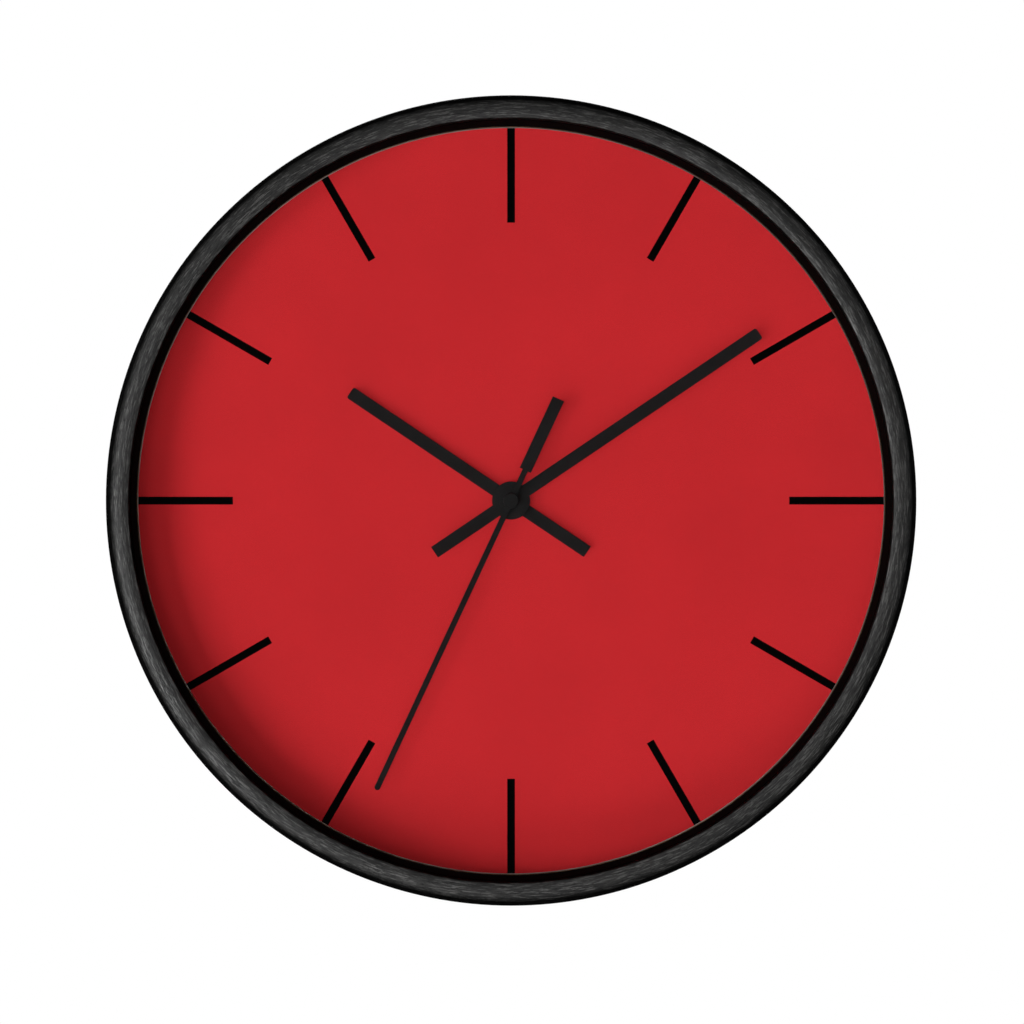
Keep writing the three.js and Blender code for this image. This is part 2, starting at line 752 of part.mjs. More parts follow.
// Half of the stator: a cheek beside the rotor, and an arm up to the core's end.
function stator(side, armPoints) {
  const [x, z] = ROTOR;
  const { rear, front, hole, halfGap, reach, below, above } = STATOR;
  const ends = [x + side * halfGap, x + side * reach];
  const cheek = block(Math.min(...ends), Math.max(...ends), z - below, z + above, rear, front);
  const arm = plate(outline(armPoints), rear, front);
  return bored(joined(cheek, arm), hole, rear, front, ROTOR, MEDIUM);
}

const [rotorX, rotorZ] = ROTOR;
const CHEEK_TOP = rotorZ + STATOR.above;
const CORE_TOP = COIL.z + CORE.halfWidth;
const NECK_BOTTOM = CHEEK_TOP - STATOR.neck;
const LEFT_ARM = [
  [rotorX - STATOR.halfGap, NECK_BOTTOM],
  [rotorX - STATOR.halfGap, CHEEK_TOP],
  [CORE.left + STATOR.arm, CHEEK_TOP],
  [CORE.left + STATOR.arm, CORE_TOP],
  [CORE.left, CORE_TOP],
  [CORE.left, NECK_BOTTOM],
];
const RIGHT_ARM = [
  [CORE.right - STATOR.arm, NECK_BOTTOM],
  [CORE.right, NECK_BOTTOM],
  [CORE.right, CORE_TOP],
  [CORE.right - STATOR.arm, CORE_TOP],
];

addPiece("stator_left", stator(-1, LEFT_ARM), SOFT_IRON);
addPiece("stator_right", stator(1, RIGHT_ARM), SOFT_IRON);

const coilBlock = (margin, left, right) =>
  block(left, right, COIL.z - margin, COIL.z + margin, COIL.depth - margin, COIL.depth + margin);

function coilBobbin() {
  const { half, slot, slotClearance, flange, flangeSheet } = BOBBIN;
  const left = COIL.centreX - COIL.halfLength;
  const right = COIL.centreX + COIL.halfLength;
  const coreSlot = block(
    left - BEYOND,
    right + BEYOND,
    COIL.z - slot,
    COIL.z + slot,
    CORE.rear - slotClearance,
    CORE.front + slotClearance,
  );
  return joined(
    coilBlock(half, left, right),
    coilBlock(flange, left, left + flangeSheet),
    coilBlock(flange, right - flangeSheet, right),
  ).subtract(coreSlot);
}

function coilWinding() {
  const { inner, outer, corner, endGap } = WINDING;
  const length = 2 * (COIL.halfLength - BOBBIN.flangeSheet - endGap);
  const section = roundedOutline(-outer, outer, -outer, outer, Array(4).fill(corner));
  const geometry = new THREE.ExtrudeGeometry(section, {
    depth: length,
    bevelEnabled: false,
    curveSegments: ARC_STEPS,
  });
  geometry.rotateY(Math.PI / 2);
  geometry.translate(COIL.centreX - length / 2, -COIL.depth, COIL.z);
  return solid(geometry).subtract(coilBlock(inner, COIL.centreX - length, COIL.centreX + length));
}

addPiece(
  "coil_core",
  block(CORE.left, CORE.right, COIL.z - CORE.halfWidth, COIL.z + CORE.halfWidth, CORE.rear, CORE.front),
  SOFT_IRON,
);
addPiece("coil_bobbin", coilBobbin(), WHITE_ACETAL);
addPiece("coil_winding", coilWinding(), ENAMELLED_COPPER);

// ---------------------------------------------------------------- electronics and cell

function quartzCrystal() {
  const { radius, left, right, z, depth } = CRYSTAL;
  const geometry = new THREE.CylinderGeometry(radius, radius, right - left, COARSE);
  geometry.rotateZ(Math.PI / 2);
  geometry.translate((left + right) / 2, -depth, z);
  return solid(geometry);
}

function circuitBoard() {
  const { left, right, bottom, top, corner, rear, front } = PCB;
  return plate(roundedOutline(left, right, bottom, top, Array(4).fill(corner)), rear, front);
}

// A cured drop of resin over the chip, on the board's rear side.
function controlChip() {
  const { at, radius, shoulder, crown, foot, height } = CHIP;
  const drop = [
    [0, foot],
    [radius, foot],
    [shoulder, foot - height / 2],
    [crown, foot - height * 0.85],
    [0, foot - height],
  ];
  return turned(drop, COARSE, at);
}

// A leaf at the end of the bay, with a narrow tail that runs up inside the case.
function positiveContact() {
  const { outer, sheet, bottom, padTop, padRear, padFront, tailRear, tailFront, tailTop } = CONTACT;
  return joined(
    block(-outer, -outer + sheet, bottom, padTop, padRear, padFront),
    block(-outer, -outer + sheet, padTop - ROOTED, tailTop, tailRear, tailFront),
  );
}

function negativeContact() {
  const { outer, sheet, bottom, padTop, padRear, padFront, tailRear, tailFront } = CONTACT;
  const { returnZ, returnEndX, returnTop } = CONTACT;
  return joined(
    block(outer - sheet, outer, bottom, padTop, padRear, padFront),
    block(outer - sheet, outer, padTop - ROOTED, returnZ, tailRear, tailFront),
    block(returnEndX, outer, returnZ - sheet, returnZ, tailRear, tailFront),
    block(returnEndX, returnEndX + sheet, returnZ - sheet, returnTop, tailRear, tailFront),
  );
}

// An AA cell lying along X, its positive nub to the left.
function batteryCell() {
  const { radius, halfLength, nubRadius, nubLength, shoulder, z, depth } = CELL;
  const points = [
    [0, -halfLength],
    [nubRadius, -halfLength],
    [nubRadius, nubLength - halfLength],
    [radius - shoulder, nubLength - halfLength],
    [radius, nubLength + shoulder - halfLength],
    [radius, halfLength - shoulder / 2],
    [radius - shoulder / 2, halfLength],
    [0, halfLength],
  ].map(([r, along]) => new THREE.Vector2(r, along));
  const geometry = new THREE.LatheGeometry(points, MEDIUM);
  geometry.rotateZ(-Math.PI / 2);
  geometry.translate(0, -depth, z);
  return solid(geometry);
}

addPiece("circuit_board", circuitBoard(), GREEN_LAMINATE);
addPiece("control_chip", controlChip(), BLACK_EPOXY);
addPiece("quartz_crystal", quartzCrystal(), SPRING_STEEL);
addPiece("positive_contact", positiveContact(), SPRING_STEEL);
addPiece("negative_contact", negativeContact(), SPRING_STEEL);
addPiece("battery_cell", batteryCell(), CELL_SLEEVE);

// ---------------------------------------------------------------- hands

// A strip from the tail to the tip, drawn pointing to twelve.
function handOutline({ width, tip, tail, corner }) {
  return roundedOutline(-width / 2, width / 2, -tail, tip, [EASED, EASED, corner, corner]);
}

const atAngle = (body, degrees) => body.rotate([0, degrees, 0]);

// A hand with a disc at its hub, and a collar that grips its pipe.
function pressedHand(hand, blade) {
  const body = joined(
    plate(handOutline(hand), blade.rear, blade.front),
    rod(hand.disc, blade.rear, blade.front, MEDIUM),
    rod(blade.collar, blade.rear, blade.collarFront, MEDIUM),
  );
  return atAngle(bored(body, blade.bore, blade.rear, blade.collarFront, CENTRE, MEDIUM), hand.angle);
}

function secondHand() {
  const { width, tip, tail, neck, weight, disc, angle } = SECOND_HAND;
  const { rear, front, bore } = SECOND_BLADE;
  const half = width / 2;
  const tipRadius = half - SLIVER;
  const needle = roundedOutline(-half, half, -neck, tip, [EASED, EASED, tipRadius, tipRadius]);
  const body = joined(
    plate(needle, rear, front),
    block(-weight / 2, weight / 2, -tail, -neck + EASED, rear, front),
    rod(disc, rear, front, MEDIUM),
  );
  return atAngle(bored(body, bore, rear, front, CENTRE, MEDIUM), angle);
}

function secondHandCap() {
  const { radius, rear, front, chamfer, tube: tubeOuter, bore, boreFront, tubeRear } = CAP;
  return turned(
    [
      [bore, tubeRear],
      [tubeOuter, tubeRear],
      [tubeOuter, rear],
      [radius, rear],
      [radius, front - chamfer],
      [radius - chamfer, front],
      [0, front],
      [0, boreFront],
      [bore, boreFront],
    ],
    MEDIUM,
  );
}

addPiece("hour_hand", pressedHand(HOUR_HAND, HOUR_BLADE), BLACK_ALUMINIUM);
addPiece("minute_hand", pressedHand(MINUTE_HAND, MINUTE_BLADE), BLACK_ALUMINIUM);
addPiece("second_hand", secondHand(), BLACK_ALUMINIUM);
addPiece("second_hand_cap", secondHandCap(), BLACK_ALUMINIUM);

export default clock;
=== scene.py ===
import math
from collections import namedtuple

import bmesh
import bpy
from mathutils import Matrix, Vector

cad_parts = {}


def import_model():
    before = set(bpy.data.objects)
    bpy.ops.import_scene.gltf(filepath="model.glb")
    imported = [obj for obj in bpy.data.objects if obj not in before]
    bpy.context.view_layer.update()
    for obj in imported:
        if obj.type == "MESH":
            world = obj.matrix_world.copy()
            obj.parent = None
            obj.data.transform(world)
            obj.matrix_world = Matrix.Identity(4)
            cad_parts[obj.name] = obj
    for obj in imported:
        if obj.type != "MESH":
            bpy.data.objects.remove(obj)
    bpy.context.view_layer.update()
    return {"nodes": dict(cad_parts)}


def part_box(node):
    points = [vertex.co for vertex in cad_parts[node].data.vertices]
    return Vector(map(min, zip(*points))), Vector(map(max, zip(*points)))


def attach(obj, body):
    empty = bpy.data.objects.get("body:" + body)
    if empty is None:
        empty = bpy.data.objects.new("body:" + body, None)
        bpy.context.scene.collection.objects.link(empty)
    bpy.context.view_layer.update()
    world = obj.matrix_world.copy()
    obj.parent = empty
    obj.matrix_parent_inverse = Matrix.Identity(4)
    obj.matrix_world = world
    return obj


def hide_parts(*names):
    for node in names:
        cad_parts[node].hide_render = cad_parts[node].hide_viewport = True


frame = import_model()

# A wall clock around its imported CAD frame. Shapes are drawn in millimetres about the dial's axis: x to
# the right, z up, and depth as the distance in front of the wall.
MM = 0.001
FULL_TURN = 2 * math.pi
SCENE = bpy.context.scene

# ---------------------------------------------------------------- measures from the frame

ring_low, ring_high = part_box("wood_frame")
AXIS_Z = (ring_low.z + ring_high.z) / 2

Extent = namedtuple("Extent", "left right bottom top rear front")


def extent(node):
    """A CAD node's sides in millimetres about the dial's axis."""
    low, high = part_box(node)
    return Extent(
        low.x / MM,
        high.x / MM,
        (low.z - AXIS_Z) / MM,
        (high.z - AXIS_Z) / MM,
        -high.y / MM,
        -low.y / MM,
    )


RING = extent("wood_frame")
LENS = extent("lens")
SPACER = extent("spacer_ring")
DIAL = extent("dial")
BOARD = extent("back_board")
HANGER = extent("hanger_bracket")
FRONT_CASE = extent("movement_front_case")
REAR_COVER = extent("movement_rear_cover")
KNOB = extent("setting_knob")
CELL = extent("battery_cell")
HOUR_HAND = extent("hour_hand")
MINUTE_HAND = extent("minute_hand")
SECOND_HAND = extent("second_hand")
CAP = extent("second_hand_cap")

FIT = 0.3  # the gap between neighbouring pieces
BEYOND = 1  # how far a cutter runs past what it cuts
BORE = SPACER.right + FIT
BUSH_HOLE = 3.9
DIAL_HOLE = 5.3
BUSH_BORE = 2.7
CASE_WALL = 1.4
CASE_CORNER = 2.5
BAY_TOP = -11.9
BAY_HALF_LENGTH = 26
PARTITION_TOP = -11

FINE = 256  # sides of a circle as large as the dial
MEDIUM = 96
SMALL = 48

# ---------------------------------------------------------------- shapes


def place(x, z, depth):
    return Vector((x * MM, -depth * MM, AXIS_Z + z * MM))


def circle(radius, sides, centre=(0, 0)):
    steps = [FULL_TURN * k / sides for k in range(sides)]
    return [(centre[0] + radius * math.cos(a), centre[1] + radius * math.sin(a)) for a in steps]


def arc(centre, radius, start, end, steps):
    """Points of an arc from one angle to another, in degrees."""
    angles = [math.radians(start + (end - start) * k / steps) for k in range(steps + 1)]
    return [(centre[0] + radius * math.cos(a), centre[1] + radius * math.sin(a)) for a in angles]


def rounded_rectangle(left, right, bottom, top, radius, steps=6):
    """Counterclockwise, with one radius, or four from the bottom left corner round."""
    radii = radius if isinstance(radius, (list, tuple)) else [radius] * 4
    points = []
    corners = ((left, bottom, 180), (right, bottom, 270), (right, top, 0), (left, top, 90))
    for (x, z, start), r in zip(corners, radii):
        inner = (x + r if x == left else x - r, z + r if z == bottom else z - r)
        points += arc(inner, r, start, start + 90, steps)
    return points


def inset(points, amount):
    """A counterclockwise outline moved inwards, or outwards for a negative amount."""
    moved = []
    count = len(points)
    for i, (x, z) in enumerate(points):
        before, after = Vector(points[i - 1]), Vector(points[(i + 1) % count])
        here = Vector((x, z))
        first, second = (here - before).normalized(), (after - here).normalized()
        normal_a, normal_b = Vector((-first.y, first.x)), Vector((-second.y, second.x))
        mean = normal_a + normal_b
        shift = mean * (2 * amount / max(mean.length_squared, 0.5))
        moved.append((x + shift.x, z + shift.y))
    return moved


def build(name, verts, faces):
    """A closed piece with merged points and outward faces."""
    mesh = bpy.data.meshes.new(name)
    mesh.from_pydata(verts, [], faces)
    work = bmesh.new()
    work.from_mesh(mesh)
    bmesh.ops.remove_doubles(work, verts=work.verts, dist=1e-7)
    bmesh.ops.dissolve_degenerate(work, dist=1e-8, edges=work.edges)
    bmesh.ops.recalc_face_normals(work, faces=work.faces)
    work.to_mesh(mesh)
    work.free()
    piece = bpy.data.objects.new(name, mesh)
    SCENE.collection.objects.link(piece)
    return piece


def lofted(name, loops, ends="capped"):
    """Joins loops of equally many points. The ends are capped, joined to each other, or meet in a point."""
    size = len(loops[0])
    verts = [point for loop in loops for point in loop]
    pairs = list(zip(range(len(loops)), range(1, len(loops))))
    if ends == "joined":
        pairs.append((len(loops) - 1, 0))
    faces = []
    for a, b in pairs:
        for k in range(size):
            n = (k + 1) % size
            faces.append((a * size + k, a * size + n, b * size + n, b * size + k))
    if ends == "capped":
        faces.append(tuple(range(size)))
        faces.append(tuple(range((len(loops) - 1) * size, len(loops) * size)))
    return build(name, verts, faces)


def turned(name, profile, sides, centre=(0, 0)):
    """A profile of (radius, depth) turned about the dial's axis or one parallel to it. It is a closed
    loop, or runs from the axis back to the axis."""
    loops = [[place(x, z, depth) for x, z in circle(max(radius, 1e-9), sides, centre)] for radius, depth in profile]
    meets_axis = profile[0][0] == 0
    return lofted(name, loops, "point" if meets_axis else "joined")


def turned_along_x(name, profile, sides, centre_z, centre_depth):
    """A profile of (radius, x) turned about an axis parallel to X."""
    loops = [
        [place(x, z, depth) for z, depth in circle(max(radius, 1e-9), sides, (centre_z, centre_depth))]
        for radius, x in profile
    ]
    return lofted(name, loops, "point")


def plate(name, outline, rear, front, edge=0.12, steps=3):
    """An outline given thickness, with rounded edges."""
    quarter = [math.radians(90 * k / steps) for k in range(steps + 1)]
    sections = [(edge * (1 - math.sin(a)), rear + edge * (1 - math.cos(a))) for a in quarter]
    sections += [(edge * (1 - math.cos(a)), front - edge * (1 - math.sin(a))) for a in quarter]
    loops = [[place(x, z, depth) for x, z in inset(outline, amount)] for amount, depth in sections]
    return lofted(name, loops)


def straight_plate(name, outline, rear, front):
    return lofted(name, [[place(x, z, depth) for x, z in outline] for depth in (rear, front)])


def block(name, left, right, bottom, top, rear, front):
    return straight_plate(name, [(left, bottom), (right, bottom), (right, top), (left, top)], rear, front)


def rod(name, radius, rear, front, sides=SMALL, centre=(0, 0)):
    return straight_plate(name, circle(radius, sides, centre), rear, front)


def settle(piece):
    """Makes a piece's modifiers part of its mesh."""
    graph = bpy.context.evaluated_depsgraph_get()
    made = bpy.data.meshes.new_from_object(piece.evaluated_get(graph))
    piece.modifiers.clear()
    piece.data = made
    made.name = piece.name


def combined(piece, add=(), cut=()):
    """Joins solids to a piece, then cuts others out of it. The solids are used up."""
    for operation, tools in (("UNION", add), ("DIFFERENCE", cut)):
        for tool in tools:
            modifier = piece.modifiers.new("combine", "BOOLEAN")
            modifier.operation = operation
            modifier.solver = "EXACT"
            modifier.object = tool
    settle(piece)
    for tool in (*add, *cut):
        bpy.data.objects.remove(tool)
    return piece


def rounded_edges(piece, width, segments=2, angle=35):
    modifier = piece.modifiers.new("edges", "BEVEL")
    modifier.width = width * MM
    modifier.segments = segments
    modifier.limit_method = "ANGLE"
    modifier.angle_limit = math.radians(angle)
    return piece


def complete(piece, body, look, replaces=(), smooth=32):
    """Gives a new piece its look, its shading and its body, and hides the CAD parts that it stands in for."""
    mesh = piece.data
    if not mesh.materials:
        mesh.materials.append(look)
    mesh.materials[0] = look
    mesh.polygons.foreach_set("use_smooth", [True] * len(mesh.polygons))
    mesh.set_sharp_from_angle(angle=math.radians(smooth))
    piece.modifiers.new("normals", "WEIGHTED_NORMAL").keep_sharp = True
    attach(piece, body)
    if replaces:
        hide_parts(*replaces)
    return piece


# ---------------------------------------------------------------- materials


def srgb(*levels):
    """A linear colour from red, green and blue display levels of 0 to 255."""
    linear = [(v / 255 / 12.92) if v <= 10 else ((v / 255 + 0.055) / 1.055) ** 2.4 for v in levels]
    return (*linear, 1)


class Look:
    """A material's node tree, with short calls for what every look uses."""

    def __init__(self, name, sockets=None):
        self.material = bpy.data.materials.new(name)
        self.material.use_nodes = True
        self.tree = self.material.node_tree
        self.shader = self.tree.nodes["Principled BSDF"]
        self.set(self.shader, sockets or {})
        self.spot = self.add("TexCoord").outputs["Object"]

    def set(self, node, sockets):
        for key, value in sockets.items():
            if isinstance(value, bpy.types.NodeSocket):
                self.tree.links.new(value, node.inputs[key])
            else:
                node.inputs[key].default_value = value

    def add(self, kind, sockets=None, **settings):
        node = self.tree.nodes.new("ShaderNode" + kind)
        for key, value in settings.items():
            setattr(node, key, value)
        self.set(node, sockets or {})
        return node

    def math(self, operation, *values):
        return self.add("Math", dict(enumerate(values)), operation=operation).outputs[0]

    def noise(self, scale, detail=3, vector=None, roughness=0.55, stretch=None):
        """A noise of features about 1/scale metres wide, finer along an axis with a larger stretch."""
        vector = vector or self.spot
        if stretch:
            vector = self.add("Mapping", {"Vector": vector, "Scale": stretch}).outputs[0]
        sockets = {"Vector": vector, "Scale": scale, "Detail": detail, "Roughness": roughness}
        return self.add("TexNoise", sockets).outputs[0]

    def grade(self, value, low, high, start=0.3, end=0.7):
        """Maps a value from start to end onto low to high."""
        sockets = {"Value": value, "From Min": start, "From Max": end, "To Min": low, "To Max": high}
        return self.add("MapRange", sockets).outputs[0]

    def ramp(self, value, *stops):
        node = self.add("ValToRGB", {"Fac": value})
        elements = node.color_ramp.elements
        for _ in stops[2:]:
            elements.new(0.5)
        for element, (position, colour) in zip(elements, stops):
            element.position = position
            element.color = colour
        return node.outputs[0]

    def mix(self, factor, first, second, blend="MIX"):
        node = self.add("Mix", {0: factor, 6: first, 7: second}, data_type="RGBA", blend_type=blend)
        return node.outputs[2]

    def bump(self, height, distance, strength=1.0, normal=None):
        sockets = {"Height": height, "Distance": distance * MM, "Strength": strength}
        if normal:
            sockets["Normal"] = normal
        return self.add("Bump", sockets).outputs[0]

    def surface(self, sockets):
        self.set(self.shader, sockets)
        return self.material


def shade(colour, amount):
    """A colour made lighter or darker by a factor."""
    return (*(min(1, c * amount) for c in colour[:3]), 1)


def moulded(name, colour, roughness=(0.45, 0.6), grain=0.02, contrast=0.12, specular=0.5, grain_scale=2600):
    """Plastic, rubber or card: a faint cloudiness, a fine surface grain, and patches rubbed smoother."""
    look = Look(name, {"Specular IOR Level": specular})
    cloud = look.noise(90, 4)
    fine = look.noise(grain_scale, 2)
    rub = look.noise(240, 5)
    tone = look.ramp(cloud, (0.3, shade(colour, 1 - contrast)), (0.7, shade(colour, 1 + contrast)))
    return look.surface(
        {
            "Base Color": look.mix(look.grade(fine, 0, 0.25), tone, shade(colour, 1 - 2 * contrast)),
            "Roughness": look.grade(rub, *roughness),
            "Normal": look.bump(fine, grain),
        }
    )


def metal(name, colour, roughness=(0.25, 0.45), stretch=(1, 1, 1), tarnish=None, line_depth=0.004):
    """Metal with drawn lines along its least stretched axis, and patches of tarnish."""
    look = Look(name, {"Metallic": 1.0})
    lines = look.noise(900, 3, stretch=stretch)
    patch = look.noise(160, 5)
    dull = tarnish or shade(colour, 0.7)
    return look.surface(
        {
            "Base Color": look.mix(look.grade(patch, 0, 0.7, 0.42, 0.68), colour, dull),
            "Roughness": look.math(
                "ADD", look.grade(lines, *roughness), look.grade(patch, 0, 0.12, 0.4, 0.65)
            ),
            "Normal": look.bump(lines, line_depth),
        }
    )


def black_wood():
    """Black-stained turned wood, its grain running round the ring, with open pores and rubbed specks. Near the front,
    its outer rounded edge and its inner lip wall carry painted shade.
    """
    look = Look("black stained wood", {"Specular IOR Level": 0.5})
    parts = look.add("SeparateXYZ", {"Vector": look.spot})
    x, depth = parts.outputs[0], parts.outputs[1]
    z = look.math("SUBTRACT", parts.outputs[2], AXIS_Z)
    radius = look.math("SQRT", look.math("ADD", look.math("MULTIPLY", x, x), look.math("MULTIPLY", z, z)))

    def grain(along, across, detail, roughness=0.6):
        """A noise with so many features per radian round the ring, and so many per metre across it."""
        spot = look.add(
            "CombineXYZ",
            {
                "X": look.math("MULTIPLY", look.math("DIVIDE", x, radius), along),
                "Y": look.math("MULTIPLY", look.math("DIVIDE", z, radius), along),
                "Z": look.math("MULTIPLY", depth, across),
            },
        ).outputs[0]
        sockets = {
            "Vector": spot,
            "W": look.math("MULTIPLY", radius, across),
            "Scale": 1.0,
            "Detail": detail,
            "Roughness": roughness,
        }
        return look.add("TexNoise", sockets, noise_dimensions="4D").outputs[0]

    figure = grain(5, 260, 4)
    fibre = grain(30, 3000, 3)
    pores = grain(70, 4000, 2)
    # Painted shade: near the front, the outer rounded edge and the inner lip wall are darkened almost to black (the
    # side mask), with more roughness and less specular there.
    outer_edge_shade = look.grade(radius, 0, 1, 0.124, 0.1257)
    inner_wall_shade = look.grade(radius, 1, 0, 0.1196, 0.12)
    by_face = look.grade(depth, 1, 0, -0.0355, -0.033)
    side = look.math("MULTIPLY", look.math("MAXIMUM", outer_edge_shade, inner_wall_shade), by_face)
    stain = look.ramp(
        figure,
        (0.3, srgb(12, 12, 12)),
        (0.52, srgb(19, 19, 18)),
        (0.72, srgb(28, 27, 26)),
    )
    streaked = look.mix(look.grade(fibre, 0, 0.95, 0.5, 0.63), stain, srgb(74, 73, 72))
    pored = look.mix(look.grade(pores, 0, 0.9, 0.52, 0.64), streaked, srgb(6, 6, 6))
    relief = look.math(
        "SUBTRACT", look.math("MULTIPLY", fibre, 0.8), look.grade(pores, 0, 0.8, 0.52, 0.64)
    )
    rough = look.math("ADD", look.grade(fibre, 0.58, 0.4), look.grade(pores, 0, 0.2, 0.52, 0.64))
    return look.surface(
        {
            # Painted shade: the side mask darkens the base colour almost to black on the outer edge and the inner lip
            # wall.
            "Base Color": look.mix(look.math("MULTIPLY", side, 0.96), pored, srgb(2, 2, 2)),
            "Roughness": look.math("ADD", rough, look.math("MULTIPLY", side, 0.25)),
            "Specular IOR Level": look.grade(side, 0.5, 0.02, 0, 1),
            "Normal": look.bump(relief, 0.06),
        }
    )


def clear_lens():
    """Clear acrylic: it lets light through and reflects more at a glance, with faint wiping marks."""
    look = Look("clear acrylic")
    wiping = look.noise(40, 4, stretch=(1, 1, 0.4))
    dust = look.noise(3000, 1)
    relief = look.bump(wiping, 0.002)
    glossy = look.add(
        "BsdfAnisotropic", {"Roughness": look.grade(wiping, 0.02, 0.06), "Normal": relief}, distribution="GGX"
    )
    clear = look.add("BsdfTransparent", {"Color": look.ramp(dust, (0.3, (0.992, 0.994, 0.993, 1)), (0.8, (1, 1, 1, 1)))})
    share = look.math("MULTIPLY", look.add("Fresnel", {"IOR": 1.49}).outputs[0], 0.35)
    both = look.add("MixShader", {0: share, 1: clear.outputs[0], 2: glossy.outputs[0]})
    output = look.tree.nodes["Material Output"]
    look.tree.links.new(both.outputs[0], output.inputs["Surface"])
    look.tree.nodes.remove(look.shader)
    return look.material


def red_print():
    """Matte red ink on the dial, very slightly uneven, with a fine paper tooth."""
    look = Look("red print", {"Specular IOR Level": 0.1})
    cloud = look.noise(28, 5)
    tooth = look.noise(1900, 3)
    ink = look.ramp(cloud, (0.3, srgb(194, 38, 43)), (0.7, srgb(202, 40, 45)))
    return look.surface(
        {
            "Base Color": look.mix(look.grade(tooth, 0, 0.3), ink, srgb(184, 33, 38)),
            "Roughness": look.grade(tooth, 0.68, 0.8),
            "Normal": look.bump(tooth, 0.006),
        }
    )


def hardboard():
    """Brown hardboard: pressed fibres, and the faint mesh of the screen it was pressed on."""
    look = Look("brown hardboard", {"Specular IOR Level": 0.3})
    fibres = look.noise(420, 5, stretch=(1, 1, 2.6))
    flecks = look.noise(1500, 2, stretch=(2.5, 1, 1))
    parts = look.add("SeparateXYZ", {"Vector": look.spot})
    wires = [look.math("SINE", look.math("MULTIPLY", parts.outputs[i], 3400)) for i in (0, 2)]
    mesh = look.math("MULTIPLY", wires[0], wires[1])
    board = look.ramp(fibres, (0.3, srgb(78, 56, 40)), (0.55, srgb(98, 72, 52)), (0.75, srgb(122, 92, 68)))
    relief = look.math("ADD", look.math("MULTIPLY", mesh, 0.35), fibres)
    return look.surface(
        {
            "Base Color": look.mix(look.grade(flecks, 0, 0.5, 0.6, 0.72), board, srgb(150, 118, 88)),
            "Roughness": look.grade(fibres, 0.72, 0.9),
            "Normal": look.bump(relief, 0.08),
        }
    )


def cell_sleeve():
    """The cell's printed film: slate, with a pale grey band at the positive end and a thin line by it."""
    look = Look("cell sleeve", {"Specular IOR Level": 0.5, "Coat Weight": 0.4, "Coat Roughness": 0.12})
    x = look.add("SeparateXYZ", {"Vector": look.spot}).outputs[0]
    band = look.math("LESS_THAN", x, -0.0135)
    line = look.math("COMPARE", x, -0.0115, 0.0006)
    cloud = look.noise(120, 3)
    crease = look.noise(300, 4, stretch=(0.3, 1, 1))
    body = look.ramp(cloud, (0.3, srgb(46, 54, 64)), (0.7, srgb(56, 65, 76)))
    light = look.ramp(cloud, (0.3, srgb(150, 153, 156)), (0.7, srgb(168, 171, 174)))
    return look.surface(
        {
            "Base Color": look.mix(look.math("MAXIMUM", band, line), body, light),
            "Roughness": look.grade(crease, 0.28, 0.42),
            "Normal": look.bump(crease, 0.02),
        }
    )


def wound_copper():
    """Enamelled wire wound side by side round the bobbin, with painted shade in the grooves between the turns."""
    look = Look("enamelled copper", {"Metallic": 0.85, "Coat Weight": 0.5, "Coat Roughness": 0.2})
    x = look.add("SeparateXYZ", {"Vector": look.spot}).outputs[0]
    wobble = look.math("MULTIPLY", look.noise(500, 2), 0.00025)
    turns = look.math("SINE", look.math("MULTIPLY", look.math("ADD", x, wobble), FULL_TURN / 0.00016))
    tone = look.noise(260, 3)
    copper = look.ramp(tone, (0.3, srgb(150, 76, 36)), (0.7, srgb(186, 100, 52)))
    return look.surface(
        {
            # Painted shade: the grooves between the turns are darkened towards a deep brown.
            "Base Color": look.mix(look.grade(turns, 0.5, 0, -1, 0.2), copper, srgb(84, 38, 18)),
            "Roughness": look.grade(tone, 0.3, 0.42),
            "Normal": look.bump(turns, 0.03),
        }
    )


def laminate():
    """Green solder mask with paler tracks under it."""
    look = Look("green laminate", {"Coat Weight": 0.3, "Coat Roughness": 0.2})
    tracks = look.add(
        "TexBrick",
        {"Vector": look.spot, "Scale": 420.0, "Mortar Size": 0.06, "Color1": srgb(33, 96, 52), "Color2": srgb(40, 110, 60)},
    )
    look.set(tracks, {"Mortar": srgb(70, 140, 84)})
    weave = look.noise(1400, 2)
    return look.surface(
        {
            "Base Color": tracks.outputs[0],
            "Roughness": look.grade(weave, 0.35, 0.5),
            "Normal": look.bump(weave, 0.01),
        }
    )


